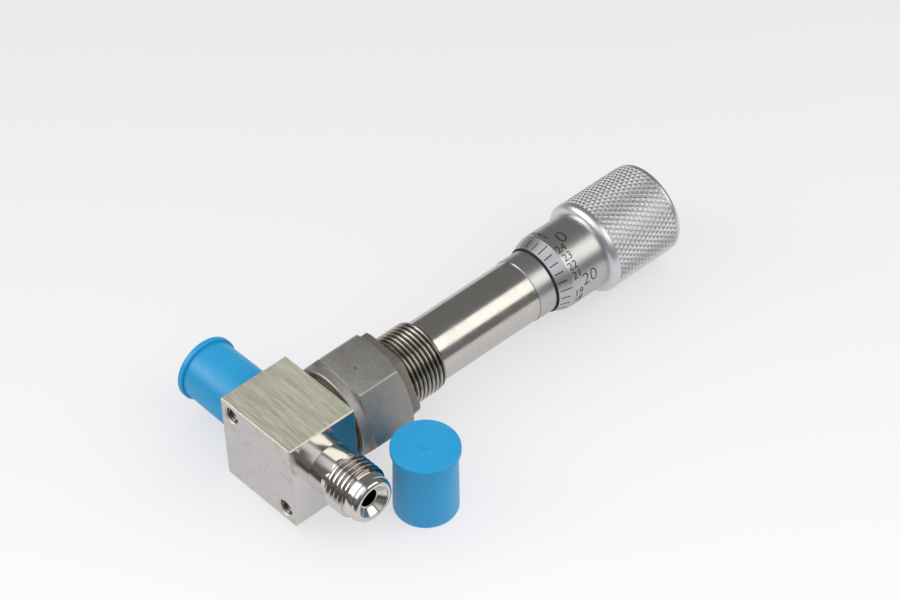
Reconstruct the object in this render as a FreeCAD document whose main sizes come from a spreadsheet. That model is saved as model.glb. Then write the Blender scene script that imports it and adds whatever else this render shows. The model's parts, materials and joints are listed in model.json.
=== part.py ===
"""Bellows-sealed metering valve with a micrometer handle, as an assembly of turned and milled pieces.

Frame: the origin is the centre of the block's mounting face, +X runs along the stem towards the
knurled grip and +Z is up. The valve lies on a bench as it would by itself, rolled about its stem
by rest_roll, so every valve piece is modelled square to the block and then turned by that angle.
Millimetres and degrees throughout.
"""
import FreeCAD
import Part
import Sketcher
import math
import os

from FreeCAD import Placement, Rotation, Vector

doc = FreeCAD.newDocument("metering_valve")
sheet = doc.addObject("Spreadsheet::Sheet", "Sizes")

SIZES = [
    # Body block and its passages
    ("block_depth", 20.1, "mounting face to neck side"),
    ("bar_bevel", 0.35, "bevel on the bar's four long edges"),
    ("edge_break", 0.15, "bevel around the block's two sawn faces"),
    ("flow_height", 11.2, "flow axis above the mounting face"),
    ("port_radius", 2.3, "bore of each end fitting and of the outlet passage"),
    ("spigot_wall", 1.67, "wall of a fitting's spigot in the block"),
    ("socket_depth", 3.7, "depth of the block's counterbore for that spigot"),
    ("socket_gap", 0.6, "space left between the spigot and the counterbore's floor"),
    ("drill_radius", 0.8, "slanted passage from the inlet to below the seat"),
    ("drill_inset", 1.0, "slanted passage inside the counterbore's wall"),
    ("drill_rise", 0.8, "point where the slanted passage meets the stem axis, above the pocket's floor"),
    ("pocket_depth", 3.5, "inlet pocket below the seat insert"),
    ("pocket_radius", 1.2, "inlet pocket and wide mouth of the seat insert"),
    ("seat_sink", 0.3, "top of the seat insert below the outlet passage"),
    ("seat_length", 2.5, "length of the seat insert"),
    ("seat_mouth", 0.8, "length of the insert's tapered mouth"),
    ("seat_ledge", 0.8, "ledge around the seat insert"),
    ("orifice_radius", 0.8, "metering orifice"),
    ("throat_radius", 2.8, "lower chamber that joins the orifice to the outlet"),
    ("chamber_sink", 1.4, "floor of the bellows chamber above the outlet passage"),
    ("chamber_radius", 6.2, "bellows chamber in the block and in the bonnet"),
    ("neck_length", 7.0, "threaded neck beyond the block"),
    ("neck_relief", 1.1, "length of the plain neck next to the block"),
    ("neck_relief_depth", 0.4, "plain neck below the thread's crests"),
    ("bolt_circle", 25.4, "circle of the two mounting holes"),
    ("bolt_radius", 2.0, "wall of a tapped mounting hole"),
    ("bolt_depth", 6.5, "depth of a mounting hole"),
    ("bolt_mouth", 0.5, "countersink at a mounting hole"),
    # End fittings
    ("fitting_thread_radius", 7.144, "9/16 in thread"),
    ("fitting_neck_step", 0.85, "plain neck next to the block, below the thread's crests"),
    ("fitting_neck_length", 5.6, "plain neck next to the block"),
    ("fitting_thread_length", 7.2, "threaded stretch"),
    ("fitting_band_step", 0.95, "smooth band below the thread's crests"),
    ("fitting_band_length", 1.9, "smooth band between thread and sealing face"),
    ("bead_step", 0.3, "sealing bead below the smooth band"),
    ("bead_length", 1.7, "length of the rounded sealing end"),
    ("bead_round", 1.1, "rounding of the sealing end"),
    ("bead_lip", 0.5, "flat of the bead around the recess"),
    ("dish_wall", 0.35, "straight wall of the dish inside the sealing bead"),
    ("dish_depth", 2.1, "depth of that dish, where it meets the bore"),
    ("dish_floor", 0.35, "floor of the dish around the bore"),
    ("thread_bevel", 0.6, "bevel at a thread's ends"),
    # Bonnet, its nut and the panel nut
    ("panel_thread_radius", 9.4, "outside of the panel-mounting thread"),
    ("thread_mesh", 0.4, "crests of that thread above the radius at which it meshes with a nut"),
    ("thread_lead", 0.2, "meshing stretch beyond the panel nut"),
    ("thread_free", 11.7, "panel-mounting thread left free above the panel nut"),
    ("flange_lip", 0.9, "bonnet's flange beyond the panel thread"),
    ("flange_play", 0.8, "bonnet's flange inside the union nut's thread"),
    ("flange_thickness", 3.0, "clamped flange of the bonnet"),
    ("gasket_thickness", 0.8, "metal ring between block and bonnet"),
    ("gasket_inset", 0.8, "inner edge of that ring outside the chamber"),
    ("gasket_width", 1.8, "radial width of that ring"),
    ("gasket_recess", 0.5, "how deep the ring sits in the neck"),
    ("nut_clearance", 0.05, "nut's bore over the thread it runs on"),
    ("nut_gap", 1.9, "bonnet nut above the block"),
    ("nut_wall", 1.5, "bonnet nut's wall around the neck at the middle of a flat"),
    ("nut_undersize", 0.1, "bonnet nut's flats below the block's square bar"),
    ("nut_shoulder", 7.1, "bonnet nut's stock above the flange that it clamps"),
    ("nut_phase", 128.5, "angle of a bonnet nut's corner about the stem, from +Y towards +Z"),
    ("nut_collar", 2.7, "length of the bonnet nut's turned collar"),
    ("nut_collar_step", 0.05, "collar inside the middle of a flat"),
    ("nut_collar_bevel", 0.25, "bevel at the collar's mouth"),
    ("nut_top_bevel", 0.95, "bevel at the bonnet nut's upper corners"),
    ("panel_nut_wall", 2.15, "panel nut's wall at the middle of a flat"),
    ("panel_nut_length", 2.8, "height of the panel nut"),
    ("panel_nut_phase", 123.0, "angle of a panel nut's corner about the stem, from +Y towards +Z"),
    ("panel_nut_bevel", 0.35, "bevel at the panel nut's upper corners"),
    ("bonnet_wall", 1.07, "bonnet's wall around the tube"),
    ("tube_socket", 3.6, "depth of the tube's seat in the bonnet"),
    ("web_thickness", 3.5, "web of the bonnet that carries the stem bush"),
    ("bush_wall", 1.65, "wall of the stem bush"),
    ("bush_flange", 1.2, "thickness of the stem bush's flange"),
    ("bush_flange_gap", 0.7, "stem bush's flange inside the tube"),
    # Tube and what is in it
    ("tube_wall", 1.4, "wall of the tube"),
    ("seat_clearance", 0.03, "radial play where one piece is fitted into another"),
    ("running_clearance", 0.05, "radial play where one piece turns or slides in another"),
    ("guide_wall", 1.27, "wall of the slotted stem guide"),
    ("guide_bridge", 1.35, "ring of the stem guide above its slots, which sets the tube's length"),
    ("guide_gap", 0.3, "stem guide below the graduated sleeve's spigot"),
    ("slot_play", 0.3, "slot beyond the cross pin at each end of its travel"),
    ("pin_radius", 0.8, "cross pin"),
    ("pin_end_play", 0.3, "cross pin's ends inside the tube"),
    ("stem_radius", 2.9, "stem"),
    ("stem_bevel", 0.4, "bevel at the ends of stem and spindle"),
    ("stem_head", 3.8, "stem above the spring plate"),
    ("stem_travel", 6.35, "travel of the stem over the handle's ten turns"),
    ("cup_depth", 2.0, "cup in the stem's end that holds the ball"),
    ("ball_radius", 1.5, "thrust ball"),
    ("plate_thickness", 2.0, "spring plate"),
    ("plate_play", 0.2, "spring plate inside the stem guide"),
    ("spring_length", 13.3, "return spring when the valve is shut"),
    ("spring_wire", 0.5, "radius of the return spring's wire"),
    ("spring_gap", 0.9, "return spring outside the stem"),
    ("spring_turns", 5.0, "turns of the return spring"),
    # Needle and bellows
    ("needle_point", 0.25, "radius of the flat at the needle's point"),
    ("needle_play", 0.03, "needle inside the orifice when shut"),
    ("needle_reach", 0.5, "needle's point beyond the seat insert when shut"),
    ("needle_lift", 0.2, "start of the needle's taper above the seat insert"),
    ("needle_shoulder", 2.0, "full radius of the needle above the seat insert"),
    ("needle_shoulder_length", 0.6, "length of the needle's conical shoulder"),
    ("needle_shank", 1.4, "radius at the foot of that shoulder"),
    ("needle_gap", 0.6, "needle's full radius inside the throat"),
    ("needle_body", 7.4, "needle from the seat insert to the stem"),
    ("needle_spigot", 1.2, "radius of the needle's spigot in the stem"),
    ("needle_spigot_length", 2.5, "length of that spigot"),
    ("stem_foot", 3.2, "stem below the bellows' lower ring"),
    ("bellows_gap", 0.5, "bellows inside its chamber"),
    ("bellows_bore_gap", 1.1, "bellows outside the stem"),
    ("bellows_wall", 0.25, "radial wall of the bellows"),
    ("bellows_folds", 12, "number of convolutions"),
    ("ring_thickness", 1.4, "ring at each end of the bellows"),
    ("ring_play", 0.2, "upper ring of the bellows around the stem"),
    # Micrometer handle
    ("sleeve_step", 0.25, "graduated sleeve beyond the tube's outside"),
    ("sleeve_shown", 5.7, "graduated sleeve between tube and thimble when the valve is shut"),
    ("sleeve_spigot", 10.5, "part of the sleeve inside the tube"),
    ("sleeve_tail", 8.0, "length of the sleeve's reduced upper end"),
    ("sleeve_tail_step", 1.55, "reduced upper end below the sleeve's outside"),
    ("sleeve_tail_wall", 1.0, "wall of the sleeve around the threaded bush"),
    ("bush_length", 20.0, "threaded bush of the spindle"),
    ("spindle_radius", 3.0, "plain lower part of the spindle"),
    ("spindle_thread", 3.9, "outside of the spindle's thread"),
    ("spindle_thread_inset", 1.0, "lower end of the spindle's thread inside its bush"),
    ("spindle_thread_bevel", 0.5, "bevel at that end of the thread"),
    ("spindle_relief", 0.7, "free space around the spindle below its bush"),
    ("spindle_tail_step", 0.7, "spindle's tail in the thimble, below the thread's crests"),
    ("seal_inset", 0.7, "spindle seal above the sleeve's spigot"),
    ("seal_section", 1.15, "thickness of the spindle seal"),
    ("seal_width", 1.4, "width of its groove, and of the wall above it"),
    ("adjuster_length", 4.0, "thread-play adjusting nut"),
    ("adjuster_gap", 0.3, "adjusting nut inside the thimble"),
    ("adjuster_slot", 1.6, "width of its two spanner slots"),
    ("adjuster_slot_depth", 2.0, "depth of those slots"),
    ("thimble_wall", 1.7, "wall of the thimble"),
    ("thimble_edge", 0.4, "front edge of the thimble beyond its bore"),
    ("mouth_relief", 0.27, "relief of the thimble's mouth beyond its bore"),
    ("mouth_depth", 1.8, "depth of that relief"),
    ("bevel_length", 3.8, "graduated bevel of the thimble"),
    ("thimble_shown", 15.3, "thimble in front of the grip"),
    ("web_gap", 1.2, "thimble's web above the sleeve when the valve is shut"),
    ("thimble_web", 3.6, "thickness of the thimble's web"),
    ("grip_length", 23.6, "knurled grip"),
    ("grip_sink", 0.5, "seat of the grip below the thimble's outside"),
    ("grip_wall", 2.45, "grip's knurl beyond its seat"),
    ("grip_lip", 0.1, "grip's shoulder beyond the thimble's outside"),
    ("grip_shoulder", 1.8, "length of the rounded shoulder"),
    ("grip_shoulder_round", 2.05, "radius of the rounded shoulder"),
    ("grip_band", 0.6, "length of the smooth band before the knurl"),
    ("grip_band_rise", 0.15, "smooth band above the knurl"),
    ("grip_rim", 3.05, "grip's rim around the end cover"),
    ("grip_rim_round", 1.6, "rounding of the grip's upper rim"),
    ("cover_ledge", 1.0, "ledge in the grip that carries the end cover"),
    ("cover_thickness", 1.8, "cover in the grip's upper end"),
    ("cover_recess", 0.6, "cover below the grip's upper rim"),
    ("cover_bevel", 0.5, "bevel of the cover"),
    ("screw_room", 4.9, "room for the spindle's end screw under the cover"),
    ("screw_radius", 1.5, "shank of the spindle's end screw"),
    ("screw_length", 7.0, "shank of the spindle's end screw"),
    ("screw_head_radius", 4.6, "head of the spindle's end screw"),
    ("screw_head", 2.2, "head of the spindle's end screw"),
    ("screw_socket_flats", 3.0, "hexagon socket of the end screw, across flats"),
    ("screw_socket_depth", 1.7, "depth of that socket"),
    # Protective caps and how everything lies
    ("cap_length", 20.6, "mouth to closed end"),
    ("cap_play", 0.06, "cap's bore over the fitting's thread"),
    ("cap_wall", 0.65, "wall of the cap under its flange"),
    ("cap_taper", 0.2, "growth of the outside from flange to mouth"),
    ("cap_rim", 0.7, "flange beyond the wall"),
    ("cap_flange", 1.5, "thickness of the flange"),
    ("cap_round", 0.35, "rounding of the flange's edge"),
    ("cap_gap", 0.7, "mouth of the fitted cap to the block"),
    ("nub_radius", 0.9, "moulding nub on the closed end"),
    ("nub_height", 0.25, "moulding nub on the closed end"),
    ("loose_cap_x", 28.7, "loose cap along the stem"),
    ("loose_cap_y", -27.4, "loose cap beside the stem"),
    ("rest_roll", 3.5, "roll about the stem of the valve lying on a bench"),
]
for row_number, (alias, number, meaning) in enumerate(SIZES, start=1):
    sheet.set("A%d" % row_number, alias)
    sheet.set("B%d" % row_number, str(number))
    sheet.setAlias("B%d" % row_number, alias)
    sheet.set("C%d" % row_number, meaning)
doc.recompute()


class Size:
    """A number together with the spreadsheet formula that gives it."""

    def __init__(self, value, text):
        self.value = value
        self.text = text

    def __add__(self, other):
        other = plain(other)
        return Size(self.value + other.value, "(%s + %s)" % (self.text, other.text))

    def __sub__(self, other):
        other = plain(other)
        return Size(self.value - other.value, "(%s - %s)" % (self.text, other.text))

    def __mul__(self, other):
        other = plain(other)
        return Size(self.value * other.value, "(%s * %s)" % (self.text, other.text))

    def __truediv__(self, other):
        other = plain(other)
        return Size(self.value / other.value, "(%s / %s)" % (self.text, other.text))

    def __neg__(self):
        return Size(-self.value, "(0 - %s)" % self.text)


def plain(thing):
    """Give a bare number the same form as a size."""
    return thing if isinstance(thing, Size) else Size(float(thing), repr(float(thing)))


size = {alias: Size(float(sheet.get(alias)), "Sizes.%s" % alias) for alias, number, meaning in SIZES}


# Sketches whose corners are bound to the spreadsheet

def origin_plane(body, role):
    for feature in body.Origin.OriginFeatures:
        if feature.Role == role:
            return feature
    raise ValueError(role)


def new_sketch(body, name, role, offset=None):
    """An empty sketch on one of the body's own origin planes, moved along its normal by offset."""
    sketch = body.newObject("Sketcher::SketchObject", name)
    sketch.AttachmentSupport = (origin_plane(body, role), [""])
    sketch.MapMode = "FlatFace"
    if offset is not None:
        sketch.setExpression("AttachmentOffset.Base.z", offset.text)
    return sketch


def bind(sketch, kind, elements, size_value):
    """Add one dimension and tie it to its formula."""
    number = sketch.addConstraint(Sketcher.Constraint(kind, *elements, size_value.value))
    sketch.setExpression("Constraints[%d]" % number, size_value.text)


def place_corner(sketch, edge, end, across, up):
    """Fix one end of an edge at (across, up) from the sketch's origin."""
    if across.value == 0:
        sketch.addConstraint(Sketcher.Constraint("PointOnObject", edge, end, -2))
    else:
        bind(sketch, "DistanceX", (-1, 1, edge, end), across)
    if up.value == 0:
        sketch.addConstraint(Sketcher.Constraint("PointOnObject", edge, end, -1))
    else:
        bind(sketch, "DistanceY", (-1, 1, edge, end), up)


def arc_between(start, finish, radius, bulge):
    """Arc from start to finish; bulge is +1 or -1 for the side on which its centre lies."""
    chord = finish - start
    middle = (start + finish) * 0.5
    side = Vector(-chord.y, chord.x, 0).normalize()
    centre = middle + side * (bulge * math.sqrt(radius ** 2 - (chord.Length / 2) ** 2))
    first = math.atan2(start.y - centre.y, start.x - centre.x)
    last = math.atan2(finish.y - centre.y, finish.x - centre.x)
    circle = Part.Circle(centre, Vector(0, 0, 1), radius)
    if bulge > 0:
        return Part.ArcOfCircle(circle, first, last), 1, 2
    return Part.ArcOfCircle(circle, last, first), 2, 1


def draw_outline(sketch, corners):
    """Closed outline through corners (across, up) or (across, up, radius, bulge).

    The last two say that the edge that arrives at this corner is an arc.
    """
    corners = [tuple(plain(part) for part in corner[:2]) + tuple(corner[2:]) for corner in corners]
    points = [Vector(corner[0].value, corner[1].value, 0) for corner in corners]
    ends = []
    for index, corner in enumerate(corners):
        following = corners[(index + 1) % len(corners)]
        start = points[index]
        finish = points[(index + 1) % len(corners)]
        if len(following) > 2:
            curve, first_end, last_end = arc_between(start, finish, following[2].value, following[3])
        else:
            curve, first_end, last_end = Part.LineSegment(start, finish), 1, 2
        edge = sketch.addGeometry(curve, False)
        ends.append((edge, first_end, last_end))
    for index, (edge, first_end, last_end) in enumerate(ends):
        next_edge, next_first, next_last = ends[(index + 1) % len(ends)]
        sketch.addConstraint(Sketcher.Constraint("Coincident", edge, last_end, next_edge, next_first))
        place_corner(sketch, edge, first_end, corners[index][0], corners[index][1])
        following = corners[(index + 1) % len(corners)]
        if len(following) > 2:
            bind(sketch, "Radius", (edge,), following[2])


def draw_circle(sketch, across, up, radius):
    across, up = plain(across), plain(up)
    circle = Part.Circle(Vector(across.value, up.value, 0), Vector(0, 0, 1), radius.value)
    edge = sketch.addGeometry(circle, False)
    bind(sketch, "Radius", (edge,), radius)
    place_corner(sketch, edge, 3, across, up)


def corner_radius(across_flats):
    """Distance from a hexagon's centre to its corners."""
    return across_flats / (2 * math.cos(math.pi / 6))


def draw_hexagon(sketch, across_flats):
    """Regular hexagon about the origin with one corner on the sketch's first axis."""
    reach = corner_radius(across_flats)
    circle = Part.Circle(Vector(0, 0, 0), Vector(0, 0, 1), reach.value)
    guide = sketch.addGeometry(circle, True)
    sketch.addConstraint(Sketcher.Constraint("Coincident", guide, 3, -1, 1))
    bind(sketch, "Radius", (guide,), reach)
    corners = [Vector(reach.value * math.cos(turn * math.pi / 3),
                      reach.value * math.sin(turn * math.pi / 3), 0) for turn in range(6)]
    edges = [sketch.addGeometry(Part.LineSegment(corners[turn], corners[(turn + 1) % 6]), False)
             for turn in range(6)]
    for turn, edge in enumerate(edges):
        sketch.addConstraint(Sketcher.Constraint("Coincident", edge, 2, edges[(turn + 1) % 6], 1))
        sketch.addConstraint(Sketcher.Constraint("PointOnObject", edge, 1, guide))
    for edge in edges[1:]:
        sketch.addConstraint(Sketcher.Constraint("Equal", edges[0], edge))
    sketch.addConstraint(Sketcher.Constraint("PointOnObject", edges[0], 1, -1))


# Features

def new_body(label):
    body = doc.addObject("PartDesign::Body", label)
    body.Label = label
    return body


def turn(body, name, corners, kind="PartDesign::Revolution"):
    """Revolve an outline of (along, radius) corners about the body's own X axis."""
    sketch = new_sketch(body, name + "_outline", "XY_Plane")
    draw_outline(sketch, corners)
    feature = body.newObject(kind, name)
    feature.Profile = sketch
    feature.ReferenceAxis = (sketch, ["H_Axis"])
    feature.Angle = 360
    return feature


def turn_away(body, name, corners):
    return turn(body, name, corners, "PartDesign::Groove")


def turned_piece(label, corners):
    """A piece of the valve that is one revolved outline about the stem."""
    body = new_body(label)
    turn(body, label + "_turned", corners)
    body.Placement = rolled()
    return body


def ring_outline(start, length, inner, outer):
    return [(start, inner), (start + length, inner), (start + length, outer), (start, outer)]


def extrude(body, name, sketch, length, kind="PartDesign::Pad", backwards=False):
    feature = body.newObject(kind, name)
    feature.Profile = sketch
    feature.Type = "Length"
    feature.setExpression("Length", length.text)
    feature.Reversed = backwards
    return feature


def rolled(along=plain(0), spin=0, turn_about_stem=plain(0)):
    """Placement of a valve piece: its own place and turn, then the valve's roll."""
    roll = Rotation(Vector(1, 0, 0), turn_about_stem.value - size["rest_roll"].value)
    own = Placement(Vector(along.value, 0, 0), Rotation(Vector(0, 0, 1), spin))
    return Placement(Vector(0, 0, 0), roll) * own


# The clamped flange, the neck around it, the nut around the neck, and the bar as wide as the nut

flange_radius = size["panel_thread_radius"] + size["flange_lip"]
neck_radius = flange_radius + size["flange_play"]
neck_bore = neck_radius + size["nut_clearance"]
nut_flats = (neck_bore + size["nut_wall"]) * 2
half_block = (nut_flats + size["nut_undersize"]) / 2

# Heights along the stem, each from the piece below it

socket_floor = half_block - size["socket_depth"]
seat_top = size["flow_height"] - size["port_radius"] - size["seat_sink"]
seat_bottom = seat_top - size["seat_length"]
pocket_floor = seat_bottom - size["pocket_depth"]
chamber_floor = size["flow_height"] + size["port_radius"] + size["chamber_sink"]
neck_end = size["block_depth"] + size["neck_length"]
gasket_start = neck_end - size["gasket_recess"]
flange_start = gasket_start + size["gasket_thickness"]
flange_end = flange_start + size["flange_thickness"]
nut_start = size["block_depth"] + size["nut_gap"]
nut_end = flange_end + size["nut_shoulder"]
panel_nut_end = nut_end + size["panel_nut_length"]
thread_end = panel_nut_end + size["thread_free"]
web_end = thread_end - size["tube_socket"]
web_bottom = web_end - size["web_thickness"]
guide_start = web_end + size["bush_flange"]
stem_start = seat_top + size["needle_body"]
plate_start = guide_start + size["spring_length"]
plate_end = plate_start + size["plate_thickness"]
pin_height = plate_start + size["plate_thickness"] / 2
slot_start = pin_height - size["pin_radius"] - size["slot_play"]
slot_end = pin_height + size["stem_travel"] + size["pin_radius"] + size["slot_play"]
guide_end = slot_end + size["guide_bridge"]
spigot_start = guide_end + size["guide_gap"]
tube_end = spigot_start + size["sleeve_spigot"]
stem_end = plate_end + size["stem_head"]
cup_floor = stem_end - size["cup_depth"]
ball_centre = cup_floor + size["ball_radius"]
spindle_start = ball_centre + size["ball_radius"]
thimble_start = tube_end + size["sleeve_shown"]
grip_start = thimble_start + size["thimble_shown"]
knurl_start = grip_start + size["grip_shoulder"] + size["grip_band"]
grip_end = grip_start + size["grip_length"]
cover_start = grip_end - size["cover_recess"] - size["cover_thickness"]
thimble_web_end = cover_start - size["screw_room"]
thimble_web_start = thimble_web_end - size["thimble_web"]
sleeve_end = thimble_web_start - size["web_gap"]
tail_start = sleeve_end - size["sleeve_tail"]
thread_bush_start = sleeve_end - size["bush_length"]

# Radii, each from the piece that it fits

socket_radius = size["port_radius"] + size["spigot_wall"] + size["seat_clearance"]
seat_radius = size["throat_radius"] - size["seat_ledge"]
shoulder_bore = size["panel_thread_radius"] + size["nut_clearance"]
mesh_radius = size["panel_thread_radius"] - size["thread_mesh"]
panel_bore = mesh_radius + size["nut_clearance"]
gasket_inner = size["chamber_radius"] + size["gasket_inset"]
gasket_outer = gasket_inner + size["gasket_width"]
tube_seat = size["panel_thread_radius"] - size["bonnet_wall"]
tube_radius = tube_seat - size["seat_clearance"]
tube_inner = tube_radius - size["tube_wall"]
lining_radius = tube_inner - size["seat_clearance"]
guide_inner = lining_radius - size["guide_wall"]
plate_radius = guide_inner - size["plate_play"]
stem_bore = size["stem_radius"] + size["running_clearance"]
bush_radius = stem_bore + size["bush_wall"]
bellows_radius = size["chamber_radius"] - size["bellows_gap"]
bellows_root = size["stem_radius"] + size["bellows_bore_gap"]
spindle_bore = size["spindle_radius"] + size["running_clearance"]
thread_bore = size["spindle_thread"] + size["running_clearance"]
spindle_tail = size["spindle_thread"] - size["spindle_tail_step"]
sleeve_radius = tube_radius + size["sleeve_step"]
sleeve_tail_radius = sleeve_radius - size["sleeve_tail_step"]
thread_bush_radius = sleeve_tail_radius - size["sleeve_tail_wall"]
thimble_bore = sleeve_radius + size["running_clearance"]
thimble_radius = thimble_bore + size["thimble_wall"]
grip_seat = thimble_radius - size["grip_sink"]
grip_radius = grip_seat + size["grip_wall"]
grip_band_radius = grip_radius + size["grip_band_rise"]
cover_radius = grip_radius - size["grip_rim"]
cap_bore = size["fitting_thread_radius"] + size["cap_play"]
cap_neck = cap_bore + size["cap_wall"]

# How far the outline of a cut runs past the metal that it cuts
cut_margin = plain(1.0)
# Length of a face cut at 30 degrees, for each unit of its height
corner_slope = math.tan(math.pi / 3)


def make_valve_body():
    """Square bar with a threaded neck, the two sockets, the seat bore and two tapped holes."""
    body = new_body("valve_body")
    bar = new_sketch(body, "bar_section", "YZ_Plane")
    edge = half_block - size["bar_bevel"]
    draw_outline(bar, [(-edge, -half_block), (edge, -half_block), (half_block, -edge), (half_block, edge),
                       (edge, half_block), (-edge, half_block), (-half_block, edge), (-half_block, -edge)])
    block = extrude(body, "bar", bar, size["block_depth"])
    doc.recompute()
    sawn = ["Edge%d" % number for number, side in enumerate(block.Shape.Edges, start=1)
            if side.BoundBox.XLength < size["edge_break"].value]
    bevel = body.newObject("PartDesign::Chamfer", "sawn_edges")
    bevel.Base = (block, sawn)
    bevel.setExpression("Size", size["edge_break"].text)
    neck_foot = size["block_depth"] - size["edge_break"]
    relief_end = size["block_depth"] + size["neck_relief"]
    relief_radius = neck_radius - size["neck_relief_depth"]
    turn(body, "neck", [
        (neck_foot, 0),
        (neck_end, 0),
        (neck_end, neck_radius - size["thread_bevel"]),
        (neck_end - size["thread_bevel"], neck_radius),
        (relief_end + size["neck_relief_depth"], neck_radius),
        (relief_end, relief_radius),
        (neck_foot, relief_radius)])
    turn_away(body, "chamber", [
        (pocket_floor, 0),
        (neck_end, 0),
        (neck_end, gasket_outer),
        (gasket_start, gasket_outer),
        (gasket_start, size["chamber_radius"]),
        (chamber_floor, size["chamber_radius"]),
        (chamber_floor, size["throat_radius"]),
        (seat_top, size["throat_radius"]),
        (seat_top, seat_radius),
        (seat_bottom, seat_radius),
        (seat_bottom, size["pocket_radius"]),
        (pocket_floor, size["pocket_radius"])])
    outlet = new_sketch(body, "outlet_section", "XZ_Plane")
    draw_circle(outlet, size["flow_height"], 0, size["port_radius"])
    extrude(body, "outlet_passage", outlet, half_block, "PartDesign::Pocket", backwards=False)
    for name, offset, backwards in (("outlet_socket", -socket_floor, False),
                                    ("inlet_socket", socket_floor, True)):
        section = new_sketch(body, name + "_section", "XZ_Plane", offset)
        draw_circle(section, size["flow_height"], 0, socket_radius)
        extrude(body, name, section, size["socket_depth"], "PartDesign::Pocket", backwards)
    add_slanted_passage(body)
    add_mounting_holes(body)
    body.Placement = rolled()


def add_slanted_passage(body):
    """Drilling from the inlet socket's floor to the pocket below the seat."""
    mouth = size["flow_height"] - socket_radius + size["drill_radius"] + size["drill_inset"]
    start = Vector(mouth.value, -socket_floor.value, 0)
    finish = Vector((pocket_floor + size["drill_rise"]).value, 0, 0)
    along = (finish - start).normalize()
    start = start - along * size["drill_radius"].value
    drill = body.newObject("PartDesign::SubtractiveCylinder", "slanted_passage")
    drill.setExpression("Radius", size["drill_radius"].text)
    drill.Height = (finish - start).Length
    drill.Placement = Placement(start, Rotation(Vector(0, 0, 1), along))


def add_mounting_holes(body):
    """Two tapped holes with a countersink at opposite corners of the mounting face."""
    reach = size["bolt_circle"] / (2 * math.sqrt(2))
    holes = new_sketch(body, "hole_centres", "YZ_Plane")
    draw_circle(holes, reach, reach, size["bolt_radius"])
    draw_circle(holes, -reach, -reach, size["bolt_radius"])
    extrude(body, "mounting_holes", holes, size["bolt_depth"], "PartDesign::Pocket", backwards=True)
    for name, side in (("upper_countersink", 1), ("lower_countersink", -1)):
        mouth = body.newObject("PartDesign::SubtractiveCone", name)
        mouth.setExpression("Radius1", (size["bolt_radius"] + size["bolt_mouth"]).text)
        mouth.setExpression("Radius2", size["bolt_radius"].text)
        mouth.setExpression("Height", size["bolt_mouth"].text)
        centre = Vector(0, side * reach.value, side * reach.value)
        mouth.Placement = Placement(centre, Rotation(Vector(0, 0, 1), Vector(1, 0, 0)))


def make_end_fitting(label, spin):
    """Male face-seal fitting: spigot, plain neck, thread, smooth band and rounded sealing end."""
    spigot_end = socket_floor + size["socket_gap"]
    spigot_radius = socket_radius - size["seat_clearance"]
    thread_start = half_block + size["fitting_neck_length"]
    band_start = thread_start + size["fitting_thread_length"]
    bead_start = band_start + size["fitting_band_length"]
    tip = bead_start + size["bead_length"]
    fitting_neck = size["fitting_thread_radius"] - size["fitting_neck_step"]
    band_radius = size["fitting_thread_radius"] - size["fitting_band_step"]
    bead_radius = band_radius - size["bead_step"]
    dish_radius = bead_radius - size["bead_round"] - size["bead_lip"]
    body = turned_piece(label, [
        (spigot_end, size["port_radius"]),
        (tip - size["dish_depth"], size["port_radius"]),
        (tip - size["dish_depth"], size["port_radius"] + size["dish_floor"]),
        (tip - size["dish_wall"], dish_radius),
        (tip, dish_radius),
        (tip, bead_radius - size["bead_round"]),
        (tip - size["bead_round"], bead_radius, size["bead_round"], 1),
        (bead_start, bead_radius),
        (bead_start, band_radius),
        (band_start, band_radius),
        (band_start - size["thread_bevel"], size["fitting_thread_radius"]),
        (thread_start + size["thread_bevel"], size["fitting_thread_radius"]),
        (thread_start, fitting_neck),
        (half_block, fitting_neck),
        (half_block, spigot_radius),
        (spigot_end, spigot_radius)])
    body.Placement = rolled(size["flow_height"], spin)


def make_seat_insert():
    """Hardened insert with a tapered mouth below and the metering orifice above."""
    turned_piece("seat_insert", [
        (seat_bottom, size["pocket_radius"]),
        (seat_bottom + size["seat_mouth"], size["orifice_radius"]),
        (seat_top, size["orifice_radius"]),
        (seat_top, seat_radius),
        (seat_bottom, seat_radius)])


def make_body_gasket():
    turned_piece("body_gasket", ring_outline(gasket_start, size["gasket_thickness"],
                                             gasket_inner, gasket_outer))


def make_bonnet():
    """Clamped flange, panel thread, bellows cavity, web for the bush and seat for the tube.

    Under its nuts the thread is drawn at the radius at which it meshes with the panel nut.
    """
    crest_start = panel_nut_end + size["thread_lead"]
    turned_piece("bonnet", [
        (flange_start, size["chamber_radius"]),
        (web_bottom, size["chamber_radius"]),
        (web_bottom, bush_radius),
        (web_end, bush_radius),
        (web_end, tube_seat),
        (thread_end, tube_seat),
        (thread_end, size["panel_thread_radius"] - size["thread_bevel"]),
        (thread_end - size["thread_bevel"], size["panel_thread_radius"]),
        (crest_start, size["panel_thread_radius"]),
        (crest_start, mesh_radius),
        (flange_end, mesh_radius),
        (flange_end, flange_radius),
        (flange_start, flange_radius)])


def hexagon_blank(label, flats, start, finish):
    body = new_body(label)
    section = new_sketch(body, label + "_section", "YZ_Plane", start)
    draw_hexagon(section, flats)
    extrude(body, label + "_bar", section, finish - start)
    return body


def bevel_corners(body, name, corner, finish, bevel):
    """Cut the upper corners of a hexagon at 30 degrees."""
    turn_away(body, name, [
        (finish, corner - bevel * corner_slope),
        (finish, corner + cut_margin),
        (finish - bevel, corner + cut_margin),
        (finish - bevel, corner)])


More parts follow.
